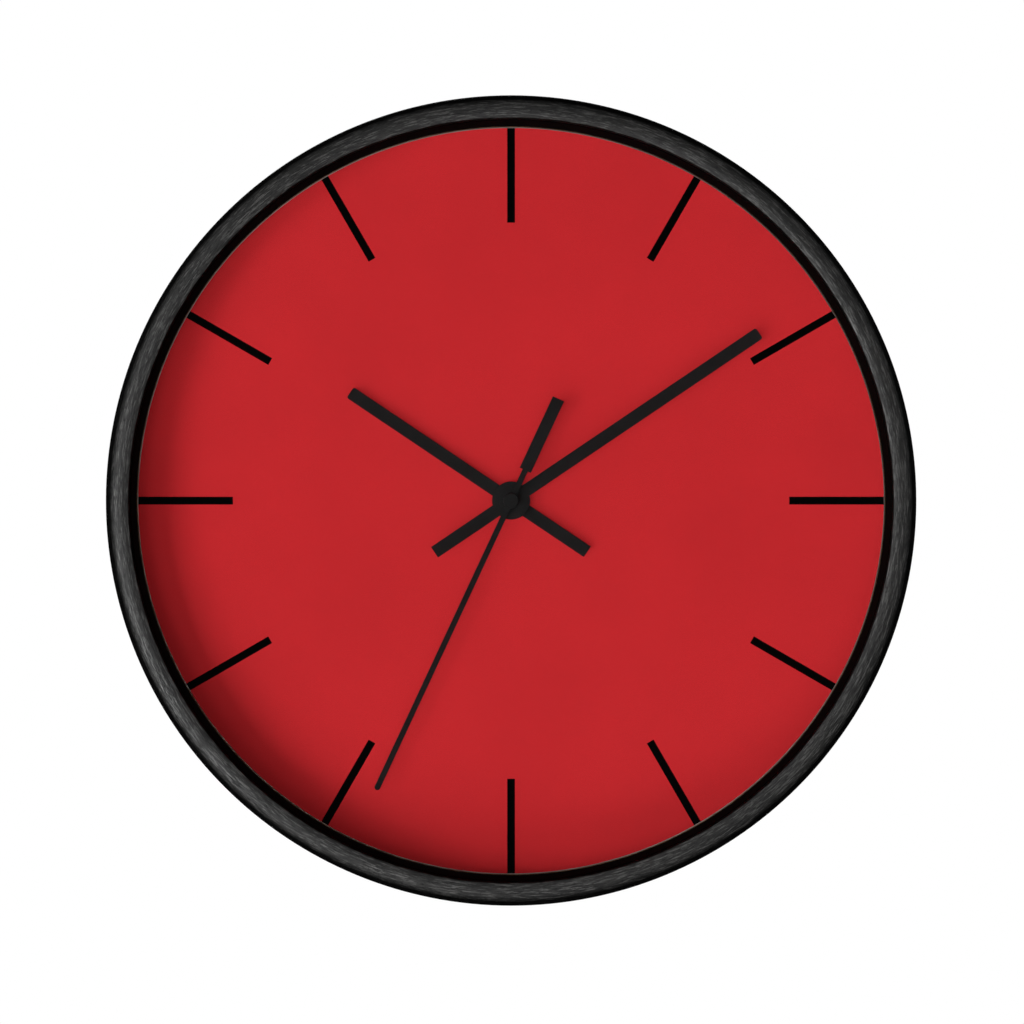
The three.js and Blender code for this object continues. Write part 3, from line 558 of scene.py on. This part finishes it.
LOOKS = {
    "black_wood": black_wood(),
    "clear_acrylic": clear_lens(),
    "black_card": moulded("black card", srgb(4, 4, 4), (0.85, 0.95), 0.03, 0.2, 0.01),
    "red_dial": red_print(),
    "dial_core": moulded("pale dial core", srgb(168, 166, 161), (0.5, 0.65), 0.01, 0.05),
    "black_ink": moulded("black ink", srgb(2, 2, 2), (0.7, 0.85), 0.006, 0.25, 0.01),
    "hardboard": hardboard(),
    "zinc_steel": metal("zinc plated steel", srgb(190, 193, 197), (0.28, 0.42), (3, 3, 0.35), srgb(148, 150, 150)),
    "spring_steel": metal("nickelled spring steel", srgb(208, 204, 194), (0.2, 0.34), (2, 2, 0.5)),
    "nickel": metal("nickelled can", srgb(205, 202, 196), (0.18, 0.3), (1, 1, 1)),
    "black_rubber": moulded("black rubber", srgb(26, 26, 26), (0.75, 0.9), 0.03, 0.2, 0.3),
    "brass": metal("brass", srgb(201, 168, 92), (0.22, 0.36), (1, 3, 1), srgb(150, 116, 58)),
    "black_plastic": moulded("black moulded plastic", srgb(32, 32, 34), (0.42, 0.58), 0.03, 0.14),
    "grey_plastic": moulded("grey moulded plastic", srgb(146, 148, 147), (0.4, 0.55), 0.02, 0.06),
    "white_acetal": moulded("white acetal", srgb(228, 225, 214), (0.3, 0.45), 0.008, 0.04),
    "soft_iron": metal("soft iron", srgb(128, 127, 124), (0.38, 0.52), (0.5, 2, 2), srgb(96, 92, 88)),
    "magnet_ferrite": moulded("ferrite", srgb(60, 60, 64), (0.4, 0.55), 0.01, 0.15),
    "enamelled_copper": wound_copper(),
    "green_laminate": laminate(),
    "black_epoxy": moulded("black epoxy", srgb(18, 18, 18), (0.2, 0.35), 0.01, 0.2),
    "cell_sleeve": cell_sleeve(),
    "black_aluminium": moulded("black lacquered aluminium", srgb(25, 25, 25), (0.55, 0.68), 0.006, 0.1, 0.12),
}

# Every CAD node that stays shown takes the look of its own material slot.
CAD_LOOKS = {
    "retaining_point_1": "zinc_steel",
    "retaining_point_2": "zinc_steel",
    "retaining_point_3": "zinc_steel",
    "retaining_point_4": "zinc_steel",
    "retaining_point_5": "zinc_steel",
    "retaining_point_6": "zinc_steel",
    "rubber_washer": "black_rubber",
    "metal_washer": "brass",
    "round_nut": "brass",
    "mid_plate": "grey_plastic",
    "train_bridge": "grey_plastic",
    "rotor_pinion": "white_acetal",
    "rotor_magnet": "magnet_ferrite",
    "intermediate_wheel": "white_acetal",
    "second_wheel": "white_acetal",
    "third_wheel": "white_acetal",
    "centre_wheel": "white_acetal",
    "motion_wheel": "white_acetal",
    "hour_wheel": "white_acetal",
    "setting_pinion": "white_acetal",
    "stator_left": "soft_iron",
    "stator_right": "soft_iron",
    "coil_core": "soft_iron",
    "coil_bobbin": "white_acetal",
    "coil_winding": "enamelled_copper",
    "circuit_board": "green_laminate",
    "control_chip": "black_epoxy",
    "quartz_crystal": "spring_steel",
    "positive_contact": "spring_steel",
    "negative_contact": "spring_steel",
}


def carry_over_cad_nodes():
    for node, look in CAD_LOOKS.items():
        mesh_object = frame["nodes"][node]
        for slot in mesh_object.material_slots:
            slot.material = LOOKS[look]


carry_over_cad_nodes()

# ---------------------------------------------------------------- ring, lens, spacer, dial and board


def wood_ring():
    outer, front = RING.right, RING.front
    lip, ledge = 119.5, LENS.front + FIT
    face_round, front_round, lip_round, crown, rear_round = 5.6, 3.6, 0.9, 0.2, 0.6
    rounding = [
        (outer - face_round * (1 - x), front - front_round * (1 - y)) for x, y in arc((0, 0), 1, 0, 90, 18)
    ]
    profile = [
        *arc((BORE + rear_round, rear_round), rear_round, 180, 270, 4),
        *arc((outer - rear_round, rear_round), rear_round, 270, 360, 4),
        *rounding,
        *arc((lip + lip_round, front - crown - lip_round), lip_round, 90, 180, 8),
        (lip, ledge),
        (BORE, ledge),
    ]
    ring = turned("ring", profile, FINE)
    complete(ring, "clock_body", LOOKS["black_wood"], ["wood_frame"])


def lens_disc():
    chamfer = 0.3
    outer, rear, front = LENS.right, LENS.rear, LENS.front
    profile = [
        (0, rear),
        (outer - chamfer, rear),
        (outer, rear + chamfer),
        (outer, front - chamfer),
        (outer - chamfer, front),
        (0, front),
    ]
    disc = turned("lens_disc", profile, FINE)
    complete(disc, "clock_body", LOOKS["clear_acrylic"], ["lens"])


def spacer_wall():
    foot, mouth, edge = 118.1, 119.4, 0.15
    outer, rear, front = SPACER.right, SPACER.rear, SPACER.front
    profile = [
        (foot, rear),
        (outer, rear),
        (outer, front - edge),
        (outer - edge, front),
        (mouth + edge, front),
        (mouth, front - edge),
    ]
    wall = turned("spacer_wall", profile, FINE)
    complete(wall, "clock_body", LOOKS["black_card"], ["spacer_ring"])


def dial_face():
    outer, rear, front, bevel = DIAL.right, DIAL.rear, DIAL.front, 0.25
    profile = [
        (DIAL_HOLE, rear),
        (outer - bevel, rear),
        (outer, rear + bevel),
        (outer, front - bevel),
        (outer - bevel, front),
        (DIAL_HOLE, front),
    ]
    face = turned("dial_face", profile, FINE)
    face.data.materials.append(LOOKS["red_dial"])
    face.data.materials.append(LOOKS["dial_core"])
    for polygon in face.data.polygons:
        polygon.material_index = 0 if polygon.normal.y < -0.9 else 1
    complete(face, "clock_body", LOOKS["red_dial"], ["dial"])


def hour_marks():
    """Twelve printed bars that run out to the dial's bevel."""
    inner, outer, half_width, ink = 87.7, DIAL.right - 0.28, 1.23, 0.02
    verts, faces = [], []
    for hour in range(12):
        angle = math.radians(30 * hour)
        across = (math.cos(angle), -math.sin(angle))
        along = (math.sin(angle), math.cos(angle))
        start = len(verts)
        for depth in (DIAL.front - ink / 2, DIAL.front + ink):
            for side, reach in ((-1, inner), (1, inner), (1, outer), (-1, outer)):
                x = across[0] * side * half_width + along[0] * reach
                z = across[1] * side * half_width + along[1] * reach
                verts.append(place(x, z, depth))
        faces.append([start + k for k in (0, 1, 2, 3)])
        faces.append([start + k for k in (7, 6, 5, 4)])
        for k in range(4):
            n = (k + 1) % 4
            faces.append([start + k, start + n, start + 4 + n, start + 4 + k])
    complete(build("hour_marks", verts, faces), "clock_body", LOOKS["black_ink"])


def board():
    outer, rear, front, edge = BOARD.right, BOARD.rear, BOARD.front, 0.4
    profile = [
        (BUSH_HOLE, rear),
        (outer - edge, rear),
        (outer, rear + edge),
        (outer, front - edge),
        (outer - edge, front),
        (BUSH_HOLE, front),
    ]
    disc = turned("backing_board", profile, FINE)
    complete(disc, "clock_body", LOOKS["hardboard"], ["back_board"])


wood_ring()
lens_disc()
spacer_wall()
dial_face()
hour_marks()
board()

# ---------------------------------------------------------------- hands


BLADE_SHEET = 0.5
COLLAR_EDGE = 0.12
HAND_HALF_WIDTH = 2
HAND_CORNER = 0.7


def turned_clockwise(points, degrees):
    angle = math.radians(degrees)
    c, s = math.cos(angle), math.sin(angle)
    return [(x * c + z * s, z * c - x * s) for x, z in points]


def strip_with_disc(half, tip, tail, disc, corner, tail_corner=0.1):
    """A hand's outline pointing to twelve: a strip, with a disc round the hub."""
    reach = math.degrees(math.acos(half / disc))
    return [
        *arc((-half + tail_corner, -tail + tail_corner), tail_corner, 180, 270, 3),
        *arc((half - tail_corner, -tail + tail_corner), tail_corner, 270, 360, 3),
        *arc((0, 0), disc, -reach, reach, 32),
        *arc((half - corner, tip - corner), corner, 0, 90, 5),
        *arc((-half + corner, tip - corner), corner, 90, 180, 5),
        *arc((0, 0), disc, 180 - reach, 180 + reach, 32),
    ]


def flat_hand(name, node, body, angle, tip, tail, disc, bore, collar):
    """A hand stamped from sheet, with a collar on its front that grips the pipe."""
    sides = extent(node)
    blade_front = sides.rear + BLADE_SHEET
    outline = turned_clockwise(strip_with_disc(HAND_HALF_WIDTH, tip, tail, disc, HAND_CORNER), angle)
    hand = plate(name, outline, sides.rear, blade_front, edge=0.1)
    grip = turned(
        "collar",
        [
            (0, blade_front - 0.2),
            (collar, blade_front - 0.2),
            (collar, sides.front - COLLAR_EDGE),
            (collar - COLLAR_EDGE, sides.front),
            (0, sides.front),
        ],
        MEDIUM,
    )
    combined(hand, add=[grip], cut=[rod("bore", bore, sides.rear - BEYOND, sides.front + BEYOND)])
    complete(hand, body, LOOKS["black_aluminium"], [node])


def second_hand():
    half, tip, tail, neck, weight, hub = 0.91, 100.4, 35.3, 10.5, 1.94, 2.4
    rear, front = SECOND_HAND.rear, SECOND_HAND.front
    reach = math.degrees(math.acos(half / hub))
    outline = [
        *arc((-weight + 0.1, -tail + 0.1), 0.1, 180, 270, 3),
        *arc((weight - 0.1, -tail + 0.1), 0.1, 270, 360, 3),
        (weight, -neck),
        (half, -neck),
        *arc((0, 0), hub, -reach, reach, 20),
        *arc((0, tip - half), half, 0, 180, 12),
        *arc((0, 0), hub, 180 - reach, 180 + reach, 20),
        (-half, -neck),
        (-weight, -neck),
    ]
    hand = plate("second_hand_blade", turned_clockwise(outline, 205), rear, front, edge=0.08)
    combined(hand, cut=[rod("bore", 1.2, rear - BEYOND, front + BEYOND)])
    complete(hand, "seconds", LOOKS["black_aluminium"], ["second_hand"])


def hub_cap():
    """The second hand's cap, turned with the tube that grips the arbor."""
    radius, tube, bore, edge = CAP.right, 1.0, 0.65, 0.35
    underside = SECOND_HAND.front + 0.1
    crown = CAP.front - 0.03
    profile = [
        (0, CAP.front),
        (radius - edge - 0.5, CAP.front - 0.015),
        *arc((radius - edge, crown - edge), edge, 90, 0, 6),
        (radius, underside + 0.08),
        (radius - 0.08, underside),
        (tube, underside),
        (tube, CAP.rear),
        (bore, CAP.rear),
        (bore, CAP.front - FIT),
        (0, CAP.front - FIT),
    ]
    cap = turned("hub_cap", profile, MEDIUM)
    complete(cap, "seconds", LOOKS["black_aluminium"], ["second_hand_cap"])


flat_hand("hour_hand_blade", "hour_hand", "hours", 303.9, 61.1, 28.9, disc=5.5, bore=2.6, collar=3.3)
flat_hand("minute_hand_blade", "minute_hand", "minutes", 55.98, 94.25, 29.1, disc=6, bore=1.6, collar=2.2)
second_hand()
hub_cap()

# ---------------------------------------------------------------- hanger


def hanger():
    """One strip bent twice: clamped on the bush, back over the movement, then up behind the board."""
    sheet, bend, shelf_bottom, half, corner = 0.8, 1.3, 28.4, HANGER.right, 4
    clamp, hook = HANGER.front - sheet / 2, HANGER.rear + sheet / 2
    shelf = shelf_bottom + sheet / 2
    angles = [math.radians(18 * k) for k in range(6)]
    lower = [(clamp - bend + bend * math.cos(a), shelf - bend + bend * math.sin(a), a) for a in angles]
    upper = [(hook + bend - bend * math.cos(a), shelf + bend - bend * math.sin(a), a) for a in reversed(angles)]
    # The strip's middle line: depth, height, and the angle of its outward side.
    line = [(clamp, HANGER.bottom, 0), *lower, *upper, (hook, HANGER.top, 0)]
    loops = []
    for depth, z, angle in line:
        across, up = sheet / 2 * math.cos(angle), sheet / 2 * math.sin(angle)
        corners = [(-half, -1), (half, -1), (half, 1), (-half, 1)]
        loops.append([place(x, z + side * up, depth + side * across) for x, side in corners])
    strip = lofted("hanger_strip", loops)

    rear, front = HANGER.rear - BEYOND, HANGER.rear + sheet + BEYOND
    window = straight_plate("window", rounded_rectangle(-6, 6, 31.2, 37, 1.5), rear, front)
    slot = straight_plate("slot", rounded_rectangle(-2.6, 2.6, 33, 40, [0.1, 0.1, 2.55, 2.55]), rear, front)
    bush = rod("bush", BUSH_HOLE, HANGER.front - sheet - BEYOND, HANGER.front + BEYOND)
    top = rounded_rectangle(-half, half, shelf, HANGER.top, [0.1, 0.1, corner, corner])
    past = rounded_rectangle(-half - 2, half + 2, HANGER.top - corner, HANGER.top + 2, 0.1)
    waste = straight_plate("waste", past, rear, front)
    combined(waste, cut=[straight_plate("top", top, rear - BEYOND, front + BEYOND)])
    combined(strip, cut=[window, slot, bush, waste])
    rounded_edges(strip, 0.12)
    complete(strip, "clock_body", LOOKS["zinc_steel"], ["hanger_bracket"])


hanger()

# ---------------------------------------------------------------- movement


def soft_box(name, half, corner, rear, front, rear_edge, front_edge, steps=5):
    """A square box with rounded corners, its rear and front edges rounded by different amounts."""
    outline = rounded_rectangle(-half, half, -half, half, corner)
    quarter = [math.radians(90 * k / steps) for k in range(steps + 1)]
    sections = [(rear_edge * (1 - math.sin(a)), rear + rear_edge * (1 - math.cos(a))) for a in quarter]
    sections += [(front_edge * (1 - math.cos(a)), front - front_edge * (1 - math.sin(a))) for a in quarter]
    loops = [[place(x, z, depth) for x, z in inset(outline, amount)] for amount, depth in sections]
    return lofted(name, loops)


CASE_HALF = REAR_COVER.right
CASE_INSIDE = CASE_HALF - CASE_WALL
STEM_RADIUS = 0.9
KNOB_CENTRE = ((KNOB.left + KNOB.right) / 2, (KNOB.bottom + KNOB.top) / 2)
CELL_Z = (CELL.bottom + CELL.top) / 2
CELL_DEPTH = (CELL.rear + CELL.front) / 2


def rear_cover():
    rear, skirt = REAR_COVER.rear, 7.9
    plate_front = 2.8
    shell = soft_box("rear_cover", CASE_HALF, CASE_CORNER, rear, skirt, 0.9, 0.1)
    hollow = straight_plate(
        "hollow", rounded_rectangle(-CASE_INSIDE, CASE_INSIDE, -CASE_INSIDE, CASE_INSIDE, 1.1), plate_front, skirt + 1
    )
    combined(shell, cut=[hollow])
    combined(
        shell,
        add=[
            block("partition", -26.3, 26.3, BAY_TOP, PARTITION_TOP, plate_front - 0.2, REAR_COVER.front),
            block("root", -26.8, 26.8, BAY_TOP, PARTITION_TOP, plate_front - 0.2, skirt - 0.05),
            rod("well", 6.4, plate_front - 0.4, 5.1, MEDIUM, KNOB_CENTRE),
        ],
    )
    bay = block("bay", -BAY_HALF_LENGTH, BAY_HALF_LENGTH, -CASE_INSIDE, BAY_TOP, rear - 1, plate_front + 0.5)
    stem_hole = STEM_RADIUS + FIT
    well = turned(
        "well_bore",
        [
            (0, rear - 1),
            (5.7, rear - 1),
            (5.7, rear),
            (5.2, rear + 0.5),
            (5.2, 4.3),
            (stem_hole, 4.3),
            (stem_hole, 6),
            (0, 6),
        ],
        MEDIUM,
        KNOB_CENTRE,
    )
    notches = [
        block("notch", min(a, b), max(a, b), BAY_TOP - 1, PARTITION_TOP + 1, 4.2, 7)
        for a, b in ((25.4, CASE_INSIDE), (-25.4, -CASE_INSIDE))
    ]
    label = straight_plate("label", rounded_rectangle(-22, 4, 6, 22, 1.2), rear - 1, rear + 0.25)
    pins = [
        rod("pin", 1.6, rear - 1, rear + 0.12, SMALL, (x, z))
        for x, z in ((-23.5, -6.5), (23.5, 22.5), (-23.5, 24.5), (8.5, 24.5))
    ]
    clips = [
        block("clip", side * 27.2 - 1.2, side * 27.2 + 1.2, z - 3, z + 3, 5.6, skirt + 0.5)
        for side in (-1, 1)
        for z in (-2, 18)
    ]
    combined(shell, cut=[bay, well, *notches, label, *pins, *clips])
    complete(shell, "clock_body", LOOKS["black_plastic"], ["movement_rear_cover"])


def polarity_marks():
    """A plus and a minus moulded beside the ends of the bay."""
    rear, relief, length, width, z = REAR_COVER.rear, 0.2, 1.6, 0.35, -8.3
    bars = [(-22, z, length, width), (-22, z, width, length), (22, z, length, width)]
    pieces = [
        plate("bar", rounded_rectangle(x - a, x + a, zz - b, zz + b, 0.1, 2), rear - relief, rear + 0.1, 0.05, 1)
        for x, zz, a, b in bars
    ]
    marks = combined(pieces[0], add=pieces[1:])
    marks.name = "polarity_marks"
    complete(marks, "clock_body", LOOKS["black_plastic"])


def threaded(name, radius, thread, pitch, rear, front, sides=SMALL):
    """A rod with a helical V thread."""
    steps = int((front - rear) / pitch * 8)
    loops = []
    for i in range(steps + 1):
        depth = rear + (front - rear) * i / steps
        loop = []
        for k in range(sides):
            turn = (depth / pitch - k / sides) % 1
            end = min(1, (front - depth) / 0.5, (depth - rear) / 0.2)
            ridge = (1 - abs(2 * turn - 1)) * end
            r = radius - thread + thread * ridge
            a = FULL_TURN * k / sides
            loop.append(place(r * math.cos(a), r * math.sin(a), depth))
        loops.append(loop)
    return lofted(name, loops)


def front_case():
    plate_rear, front, skirt = 16.3, 17.4, 8.2
    bush_radius, bush_front = 3.6, FRONT_CASE.front
    shell = soft_box("front_case", CASE_HALF, CASE_CORNER, skirt, front, 0.1, 0.9)
    hollow = straight_plate(
        "hollow", rounded_rectangle(-CASE_INSIDE, CASE_INSIDE, -CASE_INSIDE, CASE_INSIDE, 1.1), skirt - 1, plate_rear
    )
    combined(shell, cut=[hollow])
    saddles = [
        block("saddle", x - 0.6, x + 0.6, -CASE_INSIDE - 0.2, BAY_TOP - 0.2, 11.5, plate_rear + 0.2) for x in (-12, 12)
    ]
    rest = turned_along_x(
        "rest",
        [(0, -20), (CELL.top - CELL_Z + 0.25, -20), (CELL.top - CELL_Z + 0.25, 20), (0, 20)],
        MEDIUM,
        CELL_Z,
        CELL_DEPTH,
    )
    for saddle in saddles[1:]:
        combined(saddles[0], add=[saddle])
    combined(saddles[0], cut=[rest])
    motion = (7.5, 0)
    third = (-10.2, 0)
    bosses = [rod("boss", 1.7, 15.2, plate_rear + 0.3, SMALL, at) for at in (third, KNOB_CENTRE)]
    combined(
        shell,
        add=[
            saddles[0],
            threaded("bush", bush_radius, 0.25, 0.75, plate_rear + 0.5, bush_front),
            rod("post", 0.6, 13, plate_rear + 0.5, SMALL, motion),
            *bosses,
        ],
    )
    bores = [rod("boss_bore", 0.85, 14, plate_rear, SMALL, at) for at in (third, KNOB_CENTRE)]
    combined(shell, cut=[rod("bore", BUSH_BORE, plate_rear - 1, bush_front + 1), *bores])
    complete(shell, "clock_body", LOOKS["black_plastic"], ["movement_front_case"])


def knob():
    """The ribbed setting knob, dished at its back, with its stem and pivot."""
    ribs, radius, depth, edge = 20, 4.5, 0.3, 0.25
    grip_front, stem_front, pivot_radius = 4, 14.6, 0.6
    steps = 240
    outline = []
    for k in range(steps):
        angle = FULL_TURN * k / steps
        rib = (1 + math.cos(ribs * angle)) / 2
        r = radius - depth * (1 - rib**0.5)
        outline.append((r * math.cos(angle), r * math.sin(angle)))
    centred = [(x + KNOB_CENTRE[0], z + KNOB_CENTRE[1]) for x, z in outline]
    grip = plate("knob_grip", centred, KNOB.rear, grip_front, edge, 4)
    dish = [(0, KNOB.rear - BEYOND), (3.3, KNOB.rear - BEYOND), (3.3, KNOB.rear), (3.0, KNOB.rear + 0.35)]
    boss = [(1.3, KNOB.rear + 0.35), (1.1, KNOB.rear + 0.1), (0, KNOB.rear + 0.1)]
    stem = turned(
        "stem",
        [
            (0, grip_front - 0.3),
            (STEM_RADIUS + 0.5, grip_front - 0.3),
            (STEM_RADIUS + 0.25, grip_front + 0.1),
            (STEM_RADIUS, grip_front + 0.25),
            (STEM_RADIUS, stem_front),
            (pivot_radius, stem_front),
            (pivot_radius, KNOB.front - 0.1),
            (pivot_radius - 0.1, KNOB.front),
            (0, KNOB.front),
        ],
        SMALL,
        KNOB_CENTRE,
    )
    combined(grip, add=[stem], cut=[turned("dish", dish + boss, MEDIUM, KNOB_CENTRE)])
    complete(grip, "knob", LOOKS["grey_plastic"], ["setting_knob"])


rear_cover()
polarity_marks()
front_case()
knob()

# ---------------------------------------------------------------- cell


def cell():
    radius = CELL.top - CELL_Z
    left, right = CELL.left, CELL.right
    plate_x = left + 1
    can = turned_along_x(
        "cell_can",
        [
            (0, left),
            (2.45, left),
            (2.65, left + 0.08),
            (2.75, left + 0.3),
            (2.75, plate_x - 0.25),
            (3.0, plate_x),
            (6.0, plate_x),
            (6.5, plate_x + 0.35),
            (6.5, right - 0.7),
            (5.9, right - 0.12),
            (5.5, right),
            (4.9, right),
            (4.6, right - 0.3),
            (0, right - 0.3),
        ],
        MEDIUM,
        CELL_Z,
        CELL_DEPTH,
    )
    complete(can, "cell", LOOKS["nickel"])
    loop = [
        (6.3, plate_x + 0.2),
        (6.62, plate_x + 0.1),
        (6.95, plate_x + 0.35),
        (radius, plate_x + 0.85),
        (radius, right - 0.6),
        (6.98, right - 0.25),
        (6.6, right - 0.05),
        (6.2, right - 0.1),
        (6.25, right - 0.3),
        (6.6, right - 0.35),
        (6.8, right - 0.65),
        (6.8, plate_x + 0.9),
        (6.35, plate_x + 0.4),
    ]
    loops = [
        [place(x, z, depth) for z, depth in circle(r, MEDIUM, (CELL_Z, CELL_DEPTH))] for r, x in loop
    ]
    sleeve = lofted("cell_film", loops, "joined")
    complete(sleeve, "cell", LOOKS["cell_sleeve"], ["battery_cell"])


cell()

# ---------------------------------------------------------------- room, lights and camera


def world():
    """White where it is seen directly. It lights the object faintly, and only from the front."""
    made = bpy.data.worlds.new("studio")
    SCENE.world = made
    made.use_nodes = True
    tree = made.node_tree
    lighting = tree.nodes["Background"]
    seen = tree.nodes.new("ShaderNodeBackground")
    path = tree.nodes.new("ShaderNodeLightPath")
    choose = tree.nodes.new("ShaderNodeMixShader")
    direction = tree.nodes.new("ShaderNodeTexCoord")
    parts = tree.nodes.new("ShaderNodeSeparateXYZ")
    front = tree.nodes.new("ShaderNodeMapRange")
    lighting.inputs["Color"].default_value = (1, 1, 1, 1)
    seen.inputs["Color"].default_value = (1, 1, 1, 1)
    seen.inputs["Strength"].default_value = 1.0
    for key, value in {"From Min": -0.2, "From Max": -1.0, "To Min": 0.003, "To Max": 0.02}.items():
        front.inputs[key].default_value = value
    tree.links.new(direction.outputs["Generated"], parts.inputs[0])
    tree.links.new(parts.outputs[1], front.inputs["Value"])
    tree.links.new(front.outputs[0], lighting.inputs["Strength"])
    tree.links.new(path.outputs["Is Camera Ray"], choose.inputs[0])
    tree.links.new(lighting.outputs[0], choose.inputs[1])
    tree.links.new(seen.outputs[0], choose.inputs[2])
    tree.links.new(choose.outputs[0], tree.nodes["World Output"].inputs["Surface"])


def floor():
    """A wide pale floor that glows a little, so that it stays near white to its far edge."""
    half, thickness, drop = 20, 0.02, 2.5
    level = AXIS_Z - drop
    corners = ((-1, -1), (1, -1), (1, 1), (-1, 1))
    loops = [[Vector((x * half, y * half, z)) for x, y in corners] for z in (level - thickness, level)]
    ground = lofted("floor", loops)
    look = moulded("pale floor", srgb(238, 238, 237), (0.8, 0.9), 0.02, 0.01, grain_scale=60)
    shader = look.node_tree.nodes["Principled BSDF"]
    shader.inputs["Emission Color"].default_value = (1, 1, 1, 1)
    shader.inputs["Emission Strength"].default_value = 0.85
    ground.data.materials.append(look)
    ground.visible_diffuse = False
    ground.visible_glossy = False
    ground.visible_shadow = False


Lamp = namedtuple("Lamp", "direction half_arc slope half_slope share glossy hands_block")

# Direction is in degrees round the dial from the right, and slope is the tangent of the angle off the
# dial's axis. Each lamp reaches as far to both sides of them as its half arc and half slope. The hands
# cast shadows for only a part of some lamps' light.
FRONT_LAMPS = {
    "key": Lamp(201, 22, 1.08, 0.4, 0.45, True, 0.5),
    "low": Lamp(263, 22, 1.2, 0.35, 0.12, False, 0.5),
    "wide_low": Lamp(237, 19, 1.88, 0.65, 0.15, False, 0.5),
    "middle": Lamp(212, 8, 0.4, 0.15, 0.105, True, 1),
    "right": Lamp(330, 12, 0.3, 0.2, 0.03, True, 1),
    "frontal": Lamp(212, 20, 0.1, 0.05, 0.145, False, 1),
}
FRONT_DISTANCE = 8
HAND_PIECES = ["hour_hand_blade", "minute_hand_blade", "second_hand_blade", "hub_cap"]
FRONT_LIGHT = 1.23  # all the front lamps together, where 1 shows white as white


def area_lamp(name, direction, slope, distance, size, power, side):
    """A soft lamp aimed at the dial from its front (side -1) or its back (side 1)."""
    tilt = math.atan(slope)
    out = distance * math.sin(tilt)
    aim = place(0, 0, DIAL.front)
    angle = math.radians(direction)
    spot = aim + Vector((out * math.cos(angle), side * distance * math.cos(tilt), out * math.sin(angle)))
    facing = (spot - aim).normalized()
    round_axis = facing.cross(Vector((0, 1, 0))).normalized()
    turn = Matrix((round_axis, facing.cross(round_axis), facing)).transposed()
    data = bpy.data.lights.new(name, "AREA")
    data.shape = "RECTANGLE"
    data.size, data.size_y = size
    data.energy = power
    lamp = bpy.data.objects.new(name, data)
    lamp.matrix_world = Matrix.LocRotScale(spot, turn.to_quaternion(), None)
    lamp.visible_camera = False
    SCENE.collection.objects.link(lamp)
    return lamp


def front_lamp(name, spec, part):
    tilt = math.atan(spec.slope)
    across = 2 * FRONT_DISTANCE * math.sin(tilt) * math.sin(math.radians(spec.half_arc))
    along = 2 * FRONT_DISTANCE * spec.half_slope * math.cos(tilt) ** 2
    power = FRONT_LIGHT * part * spec.share * math.pi**2 * FRONT_DISTANCE**2 / math.cos(tilt)
    lamp = area_lamp(name, spec.direction, spec.slope, FRONT_DISTANCE, (across, along), power, -1)
    lamp.visible_glossy = spec.glossy
    return lamp


def all_but(name, pieces):
    """A collection that stands for everything except the named pieces, for linking light."""
    made = bpy.data.collections.new(name)
    for piece in pieces:
        made.objects.link(bpy.data.objects[piece])
    for link in made.collection_objects:
        link.light_linking.link_state = "EXCLUDE"
    return made


def lights():
    """The large key on the left and a little low, then softer fills, then lamps beside and behind the
    clock. The lens is left out of what they light, so that no lamp is mirrored in it."""
    without_hands = all_but("hands cast no shadow", HAND_PIECES)
    without_hands_or_lens = all_but("lamps light neither hands nor lens", HAND_PIECES + ["lens_disc"])
    hands = bpy.data.collections.new("lamps light only the hands")
    for piece in HAND_PIECES:
        hands.objects.link(bpy.data.objects[piece])
    lamps = []
    for name, spec in FRONT_LAMPS.items():
        lamps.append(front_lamp(name, spec, spec.hands_block))
        if spec.hands_block < 1:
            past = front_lamp(name + "_past_hands", spec, 1 - spec.hands_block)
            past.light_linking.blocker_collection = without_hands
            past.light_linking.receiver_collection = without_hands_or_lens
            on_hands = front_lamp(name + "_on_hands", spec, 1 - spec.hands_block)
            on_hands.light_linking.receiver_collection = hands
    lamps.append(area_lamp("behind_high", 110, 0.5, 1.8, (1.4, 1.0), 34, 1))
    lamps.append(area_lamp("behind_low", 300, 0.5, 1.8, (0.8, 0.8), 12, 1))
    lamps.append(area_lamp("side_right", 15, 5, 1.8, (1.4, 0.8), 12, 1))
    lamps.append(area_lamp("side_left", 150, 5, 1.8, (1.4, 0.8), 8, 1))
    without_lens = all_but("lamps light all but the lens", ["lens_disc"])
    for lamp in lamps:
        lamp.light_linking.receiver_collection = without_lens


def camera():
    """In front of the dial and a little below its middle, turned so that the clock sits near the centre."""
    data = bpy.data.cameras.new("camera")
    data.sensor_width = 36
    data.lens = 224
    made = bpy.data.objects.new("camera", data)
    made.location = place(-3.5, -14, 2033)
    made.rotation_euler = (math.radians(90.297), 0, math.radians(-0.108))
    SCENE.collection.objects.link(made)
    SCENE.camera = made


world()
floor()
lights()
camera()
SCENE.view_settings.view_transform = "Standard"
